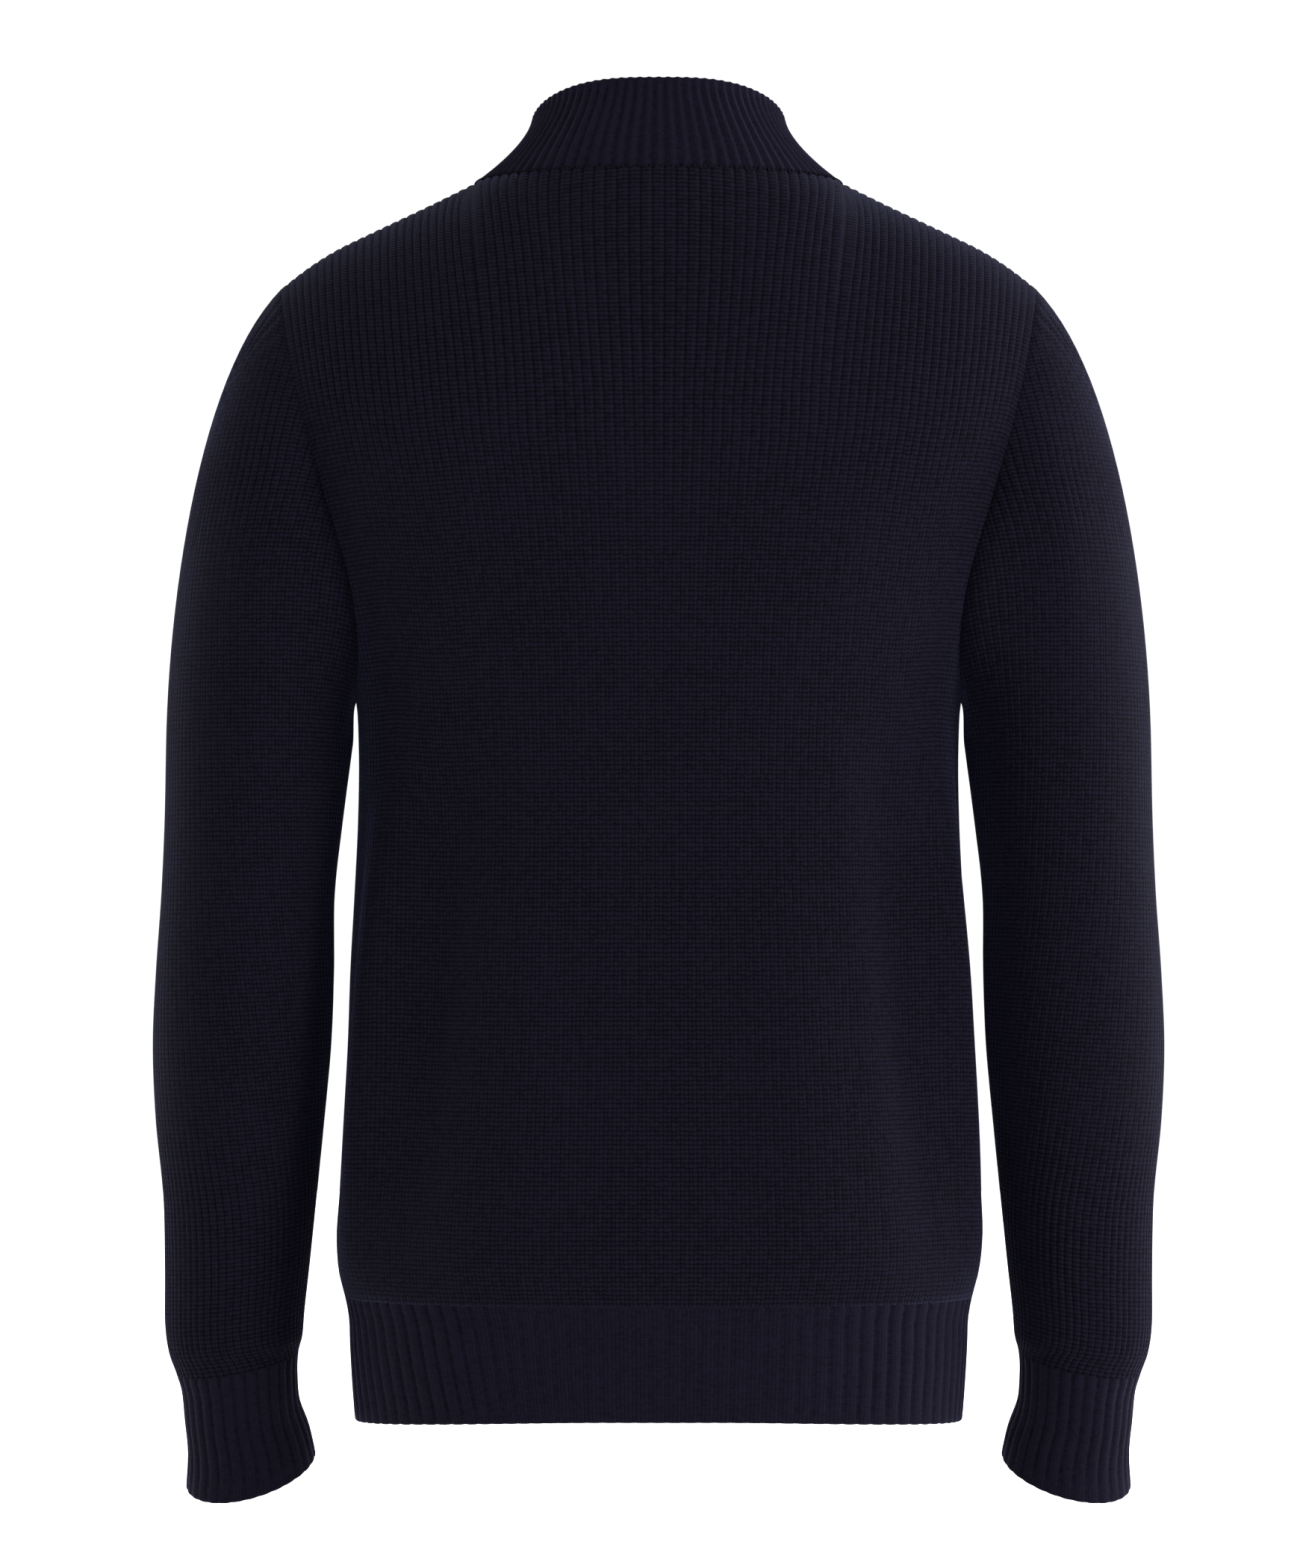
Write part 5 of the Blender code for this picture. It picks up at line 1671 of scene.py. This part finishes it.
    def sleeve(self, arm: Arm) -> None:
        """A set-in sleeve from the armhole to the cuff.

        Args:
            arm: Which side of the body.
        """
        form = self.arm
        head = form.head(np.linspace(0, 1, self.head_rows + 1)[:-1])
        numbers = np.linspace(0, form.sleeve_end, self.sleeve_rows)
        dense = np.concatenate([head, np.stack([form.ring(number, form.turns) for number in numbers])])
        dense = self.crease.sink(dense, course_lengths(dense))
        out = ring_normals(dense)
        first = len(head)
        lower = self.tube_grids(arm, numbers, dense[first:], out[first:])
        upper = self.head_grids(dense[:first], out[:first], dense[first], lower[2][0])
        outer, normals, rib = (np.concatenate(pair) for pair in zip(upper, lower))
        outer[:, 0] = outer[:, -1] = (outer[:, 0] + outer[:, -1]) / 2
        normals[:, 0] = normals[:, -1] = unit(normals[:, 0] + normals[:, -1])
        mirror = np.array([arm.value, 1, 1])
        to_seam = np.minimum(np.abs(rib - rib[:, :1]), np.abs(rib - rib[:, -1:]))
        standing = np.maximum(*(soft_step(low, high, outer[..., 2]) for low, high in self.sleeve_standing))
        share = from_floor(self.sleeve_flat, standing)
        share = share * from_floor(self.seam_flat, soft_step(0, self.seam_ribs, to_seam))
        share[:2] = 0
        course = course_lengths(outer)
        course = (course - course[first]) / MM / self.course_mm
        wall = KnitWall(
            f"sleeve_{arm.word}", outer * mirror, normals * mirror, rib, course, share, self.wall, ring=True
        )
        self.knit(wall, self.body_relief, self.body_knit, "body_knit", Cut(0.40, 0.60, 0.157))

    def cuff(self, arm: Arm) -> None:
        """A ribbed cuff, narrow at the wrist and flaring a little at its open end.

        Args:
            arm: Which side of the body.
        """
        form = self.arm
        count = self.cuff_ribs * self.band_columns
        turns = np.linspace(-math.pi, math.pi, count + 1)
        numbers = np.linspace(form.sleeve_end, len(form.rings) - 1, self.cuff_rows)
        outer = np.stack([form.ring(number, turns) for number in numbers])
        out = ring_normals(outer)
        outer[:, -1] = outer[:, 0]
        mirror = np.array([arm.value, 1, 1])
        rib = np.broadcast_to(np.arange(count + 1) / self.band_columns, outer.shape[:2])
        course = course_lengths(outer) / MM / self.rib_course_mm
        rise = np.linspace(1, 0, len(outer))[:, None]
        share = np.broadcast_to(from_floor(self.cuff_flat, soft_step(0, self.cuff_foot, rise)), outer.shape[:2])
        wall = KnitWall(
            f"cuff_{arm.word}", outer * mirror, out * mirror, rib, course, share, self.rib_wall,
            ring=True, round_last=True, inner_columns=self.band_inner_columns,
        )  # fmt: skip
        self.knit(wall, self.cuff_relief, self.band_knit, "rib_knit", Cut(0.17, 0.08, 0.0133))

    def build(self) -> None:
        """Makes every knitted piece."""
        self.back()
        self.hem_back()
        self.collar()
        for arm in Arm:
            self.front(arm)
            self.hem_front(arm)
            self.sleeve(arm)
            self.cuff(arm)


# ---------------------------------------------------------------- zip


class ZipLine:
    """The closed zip's centre line on the cloth's outer face, measured from the hem up to the collar's rim."""

    tape_edge: float = 0.0145

    def __init__(self, rows: list[Grid], half_gap: float) -> None:
        """Finds the line.

        Args:
            rows: Rows of points of the left hem, front and collar, from the zip's edge outwards.
            half_gap: Half the gap that the cloth leaves the zip.
        """
        edge = np.array([row[0] for row in rows])
        beside = np.array([[np.interp(self.tape_edge, row[:, 0], row[:, axis]) for axis in range(3)] for row in rows])
        self.half_gap = half_gap
        self.lengths = run_lengths(edge)
        self.edge = edge * np.array([0, 1, 1])
        self.sag = (beside - edge) * np.array([0, 1, 1])
        along = unit(np.gradient(self.edge, self.lengths, axis=0))
        self.inward = np.stack([np.zeros(len(rows)), along[:, 2], -along[:, 1]], axis=1)

    def points(self, at: Grid, x: float, depth: float) -> Grid:
        """Points beside the line.

        Args:
            at: How far up the line they lie.
            x: How far across it.
            depth: How far below the cloth's outer face.

        Returns:
            The points.
        """
        edge, sag, inward = (read_line(values, self.lengths, at) for values in (self.edge, self.sag, self.inward))
        share = max(0.0, (abs(x) - self.half_gap) / (self.tape_edge - self.half_gap))
        return edge + unit(inward) * depth + sag * share + np.array([x, 0, 0])

    def tilt(self, at: Grid) -> Grid:
        """How far the line leans back from upright, as a turn about the X axis."""
        inward = read_line(self.inward, self.lengths, at)
        return np.arctan2(inward[:, 2], inward[:, 1])


class RepeatTree:
    """A node tree that sets one small shape on every point of a mesh, turned by the point's turn attribute."""

    def __init__(self, name: str) -> None:
        """Builds the tree round the shape.

        Args:
            name: Its name.
        """
        self.tree = bpy.data.node_groups.new(name, "GeometryNodeTree")
        face = self.tree.interface
        face.new_socket("Geometry", in_out="INPUT", socket_type="NodeSocketGeometry")
        self.finish_key = face.new_socket("Finish", in_out="INPUT", socket_type="NodeSocketMaterial").identifier
        face.new_socket("Geometry", in_out="OUTPUT", socket_type="NodeSocketGeometry")
        inputs = add_node(self.tree, "NodeGroupInput").outputs
        turn = add_node(self.tree, "GeometryNodeInputNamedAttribute", {"Name": "turn"}, data_type="FLOAT_VECTOR")
        spots = add_node(self.tree, "GeometryNodeMeshToPoints", {"Mesh": inputs["Geometry"]})
        joined = self.tree.nodes.new("GeometryNodeJoinGeometry")
        for part in reversed(self.shape()):
            self.tree.links.new(part, joined.inputs[0])
        repeat = {"Points": spots.outputs[0], "Instance": joined.outputs[0], "Rotation": turn.outputs[0]}
        repeated = add_node(self.tree, "GeometryNodeInstanceOnPoints", repeat)
        real = add_node(self.tree, "GeometryNodeRealizeInstances", {0: repeated.outputs[0]})
        finish = {"Geometry": real.outputs[0], "Material": inputs["Finish"]}
        finished = add_node(self.tree, "GeometryNodeSetMaterial", finish)
        add_node(self.tree, "NodeGroupOutput", {0: finished.outputs[0]})

    def shape(self) -> list[bpy.types.NodeSocket]:
        """The parts of the shape that is repeated."""
        raise NotImplementedError

    def block(self, size: Sequence[float], across: float) -> bpy.types.NodeSocket:
        """A block of the shape.

        Args:
            size: Its three sizes.
            across: How far across its middle lies.

        Returns:
            The block.
        """
        cube = add_node(self.tree, "GeometryNodeMeshCube", {"Size": tuple(size)}).outputs[0]
        move = {"Geometry": cube, "Translation": (across, 0.0, 0.0)}
        return add_node(self.tree, "GeometryNodeTransform", move).outputs[0]

    def barrel(self, radius: float, length: float, across: float) -> bpy.types.NodeSocket:
        """A round part of the shape, lying along Y.

        Args:
            radius: Its radius.
            length: Its length.
            across: How far across its middle lies.

        Returns:
            The part.
        """
        drum = add_node(self.tree, "GeometryNodeMeshCylinder", {"Vertices": 10, "Radius": radius, "Depth": length})
        lie = (math.pi / 2, 0.0, 0.0)
        move = {"Geometry": drum.outputs["Mesh"], "Translation": (across, 0.0, 0.0), "Rotation": lie}
        return add_node(self.tree, "GeometryNodeTransform", move).outputs[0]

    def make(self, name: str, points: Grid, turns: Grid, finish: bpy.types.Material) -> bpy.types.Object:
        """The repeated shapes as one mesh.

        Args:
            name: The object's name.
            points: Where each shape goes.
            turns: Each shape's turn, as Euler angles.
            finish: Its material.

        Returns:
            The object.
        """
        mesh = bpy.data.meshes.new(name)
        mesh.from_pydata([tuple(point) for point in points], [], [])
        mesh.attributes.new("turn", "FLOAT_VECTOR", "POINT").data.foreach_set("vector", turns.astype(float).ravel())
        made = placed(name, mesh)
        modifier = made.modifiers.new("repeat", "NODES")
        modifier.node_group = self.tree
        modifier[self.finish_key] = finish
        settle(made)
        return made


class ToothTree(RepeatTree):
    """One tooth of the zip: a clamp on the tape's cord, a neck and a round head that locks past the middle."""

    clamp: tuple[float, float, float] = (0.0011, 0.0022, 0.00135)
    clamp_x: float = 0.00235
    neck: tuple[float, float, float] = (0.0016, 0.0016, 0.00080)
    neck_x: float = 0.00120
    head_radius: float = 0.00062
    head_length: float = 0.0019
    head_x: float = 0.00010

    def shape(self) -> list[bpy.types.NodeSocket]:
        """The clamp, the neck and the head."""
        head = self.barrel(self.head_radius, self.head_length, self.head_x)
        return [self.block(self.clamp, self.clamp_x), self.block(self.neck, self.neck_x), head]


class LinkTree(RepeatTree):
    """One linking stitch: a short length of yarn lying across a seam."""

    yarn_radius: float = 0.0006
    stretch: tuple[float, float, float] = (0.9, 0.9, 2.4)

    def shape(self) -> list[bpy.types.NodeSocket]:
        """The yarn, thinner at its ends.

        Returns:
            The yarn.
        """
        yarn = add_node(
            self.tree, "GeometryNodeMeshUVSphere", {"Segments": 8, "Rings": 6, "Radius": self.yarn_radius}
        ).outputs["Mesh"]
        return [add_node(self.tree, "GeometryNodeTransform", {"Geometry": yarn, "Scale": self.stretch}).outputs[0]]


@dataclass(frozen=True)
class NeckLinking:
    """The linking stitches that join the collar to the neck edge, one for each wale of the collar."""

    yarn: bpy.types.Material
    stitches: int = 208
    ends: tuple[float, float] = (0.012, 0.988)
    proud: float = 0.0001
    climb: float = 0.0004
    slant: float = 0.45
    slack_slant: float = 0.35

    def build(self, collar_grid: Callable[[Grid, Grid], Grid]) -> None:
        """Makes the row of stitches on the collar's foot.

        Args:
            collar_grid: Gives the collar's points for shares along it and climbs up it.
        """
        shares = np.linspace(*self.ends, self.stitches)
        foot, above = collar_grid(shares, np.array([0.0, 0.06]))
        up = unit(above - foot)
        run = unit(np.gradient(foot, axis=0))
        out = unit(np.cross(up, run))
        lean = self.slant * np.where(np.arange(self.stitches) % 2, 1.0, self.slack_slant)[:, None]
        ways = unit(up + run * lean)
        turns = np.array([Vector(way).to_track_quat("Z", "Y").to_euler() for way in ways])
        points = foot + out * self.proud + up * self.climb
        made = LinkTree("linking_stitch").make("neck_linking", points, turns, self.yarn)
        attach(made, GARMENT)
        LOG.info("%s: %d stitches", made.name, self.stitches)


@dataclass(frozen=True)
class Zip:
    """The closed zip: woven tapes, two rows of teeth, and the cast slider, box, stops and pull tab."""

    line: ZipLine
    tape: bpy.types.Material
    metal: bpy.types.Material
    pitch: float = 0.0024
    chain_low: float = 0.0092
    chain_end: float = 0.0126
    chain_depth: float = 0.00195
    tape_low: float = 0.001
    tape_end: float = 0.0015
    tape_rows: int = 300
    tape_profile: tuple[tuple[float, float], ...] = (
        (0.0016, 0.0040), (0.0017, 0.0036), (0.0021, 0.0035), (0.0046, 0.0035), (0.0092, 0.0035), (0.0142, 0.0035),
        (0.0145, 0.0038), (0.0145, 0.0042), (0.0142, 0.0045), (0.0092, 0.0045), (0.0046, 0.0045), (0.0021, 0.0045),
        (0.0017, 0.0044),
    )  # fmt: skip

    def build(self) -> None:
        """Makes the tapes and the teeth, and finishes the cast parts."""
        for arm in Arm:
            self.woven(arm)
        self.teeth()
        for node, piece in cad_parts.items():
            if node in CAST_PARTS:
                for slot in piece.material_slots:
                    slot.material = self.metal
                LOG.info("%s: plated", node)

    def woven(self, arm: Arm) -> None:
        """A woven tape beside the teeth.

        Args:
            arm: Which side of the body.
        """
        at = np.linspace(self.tape_low, self.line.lengths[-1] - self.tape_end, self.tape_rows)
        rails = [self.line.points(at, x * arm.value, depth) for x, depth in self.tape_profile]
        count = len(rails)
        points = np.stack(rails, axis=1).reshape(-1, 3)
        faces = [
            (row * count + k, row * count + (k + 1) % count, (row + 1) * count + (k + 1) % count, (row + 1) * count + k)
            for row in range(len(at) - 1)
            for k in range(count)
        ]
        faces += [tuple(range(count))[::-1], tuple((len(at) - 1) * count + k for k in range(count))]
        if arm is Arm.RIGHT:
            faces = [face[::-1] for face in faces]
        name = f"zip_tape_{arm.word}"
        mesh = bpy.data.meshes.new(name)
        mesh.from_pydata([tuple(point) for point in points], [], faces)
        mesh.materials.append(self.tape)
        mesh.polygons.foreach_set("use_smooth", [True] * len(mesh.polygons))
        made = placed(name, mesh)
        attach(made, GARMENT)
        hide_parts(name)
        LOG.info("%s: %d faces", made.name, len(mesh.polygons))

    def teeth(self) -> None:
        """Two rows of teeth, locked into one another."""
        at = np.arange(self.chain_low, self.line.lengths[-1] - self.chain_end, self.pitch / 2)
        tilt = self.line.tilt(at)
        left = (np.arange(len(at)) % 2 == 0)[:, None]
        level = np.zeros(len(at))
        facing_left = np.stack([tilt, level, level], axis=1)
        facing_right = np.stack([-tilt, level, level + math.pi], axis=1)
        turns = np.where(left, facing_left, facing_right)
        points = self.line.points(at, 0.0, self.chain_depth)
        made = ToothTree("zip_tooth").make("zip_teeth", points, turns, self.metal)
        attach(made, GARMENT)
        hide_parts("zip_chain")
        LOG.info("%s: %d teeth", made.name, len(at))


# ---------------------------------------------------------------- studio


@dataclass(frozen=True)
class Lamp:
    """A broad round studio lamp."""

    name: str
    place: tuple[float, float, float]
    width: float
    watts: float


@dataclass(frozen=True)
class Studio:
    """A white paper floor, soft light from all round and four broad lamps, brighter from the camera's right."""

    eye_x: float = 0.0054
    eye_z: float = -0.3216
    distance: float = 5.0
    far_limit: float = 60.0
    view_height: float = 0.84
    floor_z: float = -0.80
    floor_radius: float = 6.0
    film_height: float = 36.0
    sky: float = 1.05
    aim: tuple[float, float, float] = (0.0, 0.0, -0.35)
    lamps: tuple[Lamp, ...] = (
        Lamp("right_softbox", (-2.2, 1.8, 0.6), 1.6, 120.0),
        Lamp("top_softbox", (0.3, 1.0, 2.4), 2.0, 30.0),
        Lamp("right_rim", (-2.6, -0.6, 0.2), 1.6, 120.0),
        Lamp("left_rim", (2.6, -0.6, 0.2), 1.6, 60.0),
    )

    def camera(self) -> None:
        """A long lens, level, straight at the back."""
        lens = bpy.data.cameras.new("photo_camera")
        lens.sensor_fit = "VERTICAL"
        lens.sensor_height = self.film_height
        lens.lens = self.film_height * self.distance / self.view_height
        lens.clip_end = self.far_limit
        holder = bpy.data.objects.new("photo_camera", lens)
        holder.location = (self.eye_x, self.distance, self.eye_z)
        holder.rotation_euler = (math.radians(90), 0.0, math.radians(180))
        bpy.context.scene.collection.objects.link(holder)
        bpy.context.scene.camera = holder

    def paper(self) -> None:
        """The floor, a wide round sheet."""
        mesh = bpy.data.meshes.new("studio_floor")
        sheet = bmesh.new()
        bmesh.ops.create_circle(sheet, cap_ends=True, segments=64, radius=self.floor_radius)
        bmesh.ops.translate(sheet, verts=sheet.verts, vec=(0.0, 0.0, self.floor_z))
        sheet.to_mesh(mesh)
        sheet.free()
        mesh.materials.append(StudioWhiteFinish().make())
        floor = bpy.data.objects.new("studio_floor", mesh)
        bpy.context.scene.collection.objects.link(floor)

    def light(self) -> None:
        """The sky all round, and the broad lamps."""
        world = bpy.data.worlds.new("studio_air")
        world.use_nodes = True
        air = world.node_tree.nodes["Background"]
        air.inputs["Color"].default_value = (1, 1, 1, 1)
        air.inputs["Strength"].default_value = self.sky
        bpy.context.scene.world = world
        for each in self.lamps:
            lamp = bpy.data.lights.new(each.name, "AREA")
            lamp.shape = "DISK"
            lamp.size = each.width
            lamp.energy = each.watts
            holder = bpy.data.objects.new(each.name, lamp)
            holder.location = each.place
            aim = np.array(self.aim) - np.array(each.place)
            flat = math.hypot(aim[0], aim[1])
            holder.rotation_euler = (math.atan2(flat, -aim[2]), 0.0, math.atan2(aim[1], aim[0]) - math.pi / 2)
            bpy.context.scene.collection.objects.link(holder)
        bpy.context.scene.view_settings.view_transform = "Standard"
        bpy.context.scene.view_settings.look = "None"

    def build(self) -> None:
        """Makes the studio."""
        self.camera()
        self.paper()
        self.light()


def main() -> None:
    """Builds the studio, the garment and the zip, in that order."""
    logging.basicConfig(level=logging.INFO, format="%(message)s")
    torso = TorsoForm()
    neck = CollarForm(torso)
    body_knit = RibKnitFinish(
        "half_cardigan_wool_knit", wales=2, wale_offset=0.0, valley=0.30, shade=0.42, groove=0.72, rung=0.80, bow=0.10
    ).make()
    band_knit = RibKnitFinish(
        "two_by_two_rib_wool_knit", wales=4, wale_offset=0.5, valley=0.36, shade=0.42, groove=0.62, rung=0.42,
        loop_height_mm=0.3,
    ).make()  # fmt: skip
    collar_knit = RibKnitFinish(
        "collar_rib_wool_knit", wales=4, wale_offset=0.0, valley=0.75, shade=0.35, groove=0.35, rung=0.38,
        loop_height_mm=0.25,
    ).make()  # fmt: skip
    Studio().build()
    knitwear = Knitwear(torso, ArmForm(torso), neck, body_knit, band_knit, collar_knit, RibTree())
    knitwear.build()
    NeckLinking(LinkingYarnFinish().make()).build(neck.grid)
    Zip(knitwear.zip_line(), WovenTapeFinish().make(), PlatedZincFinish().make()).build()


if __name__ == "__main__":
    main()
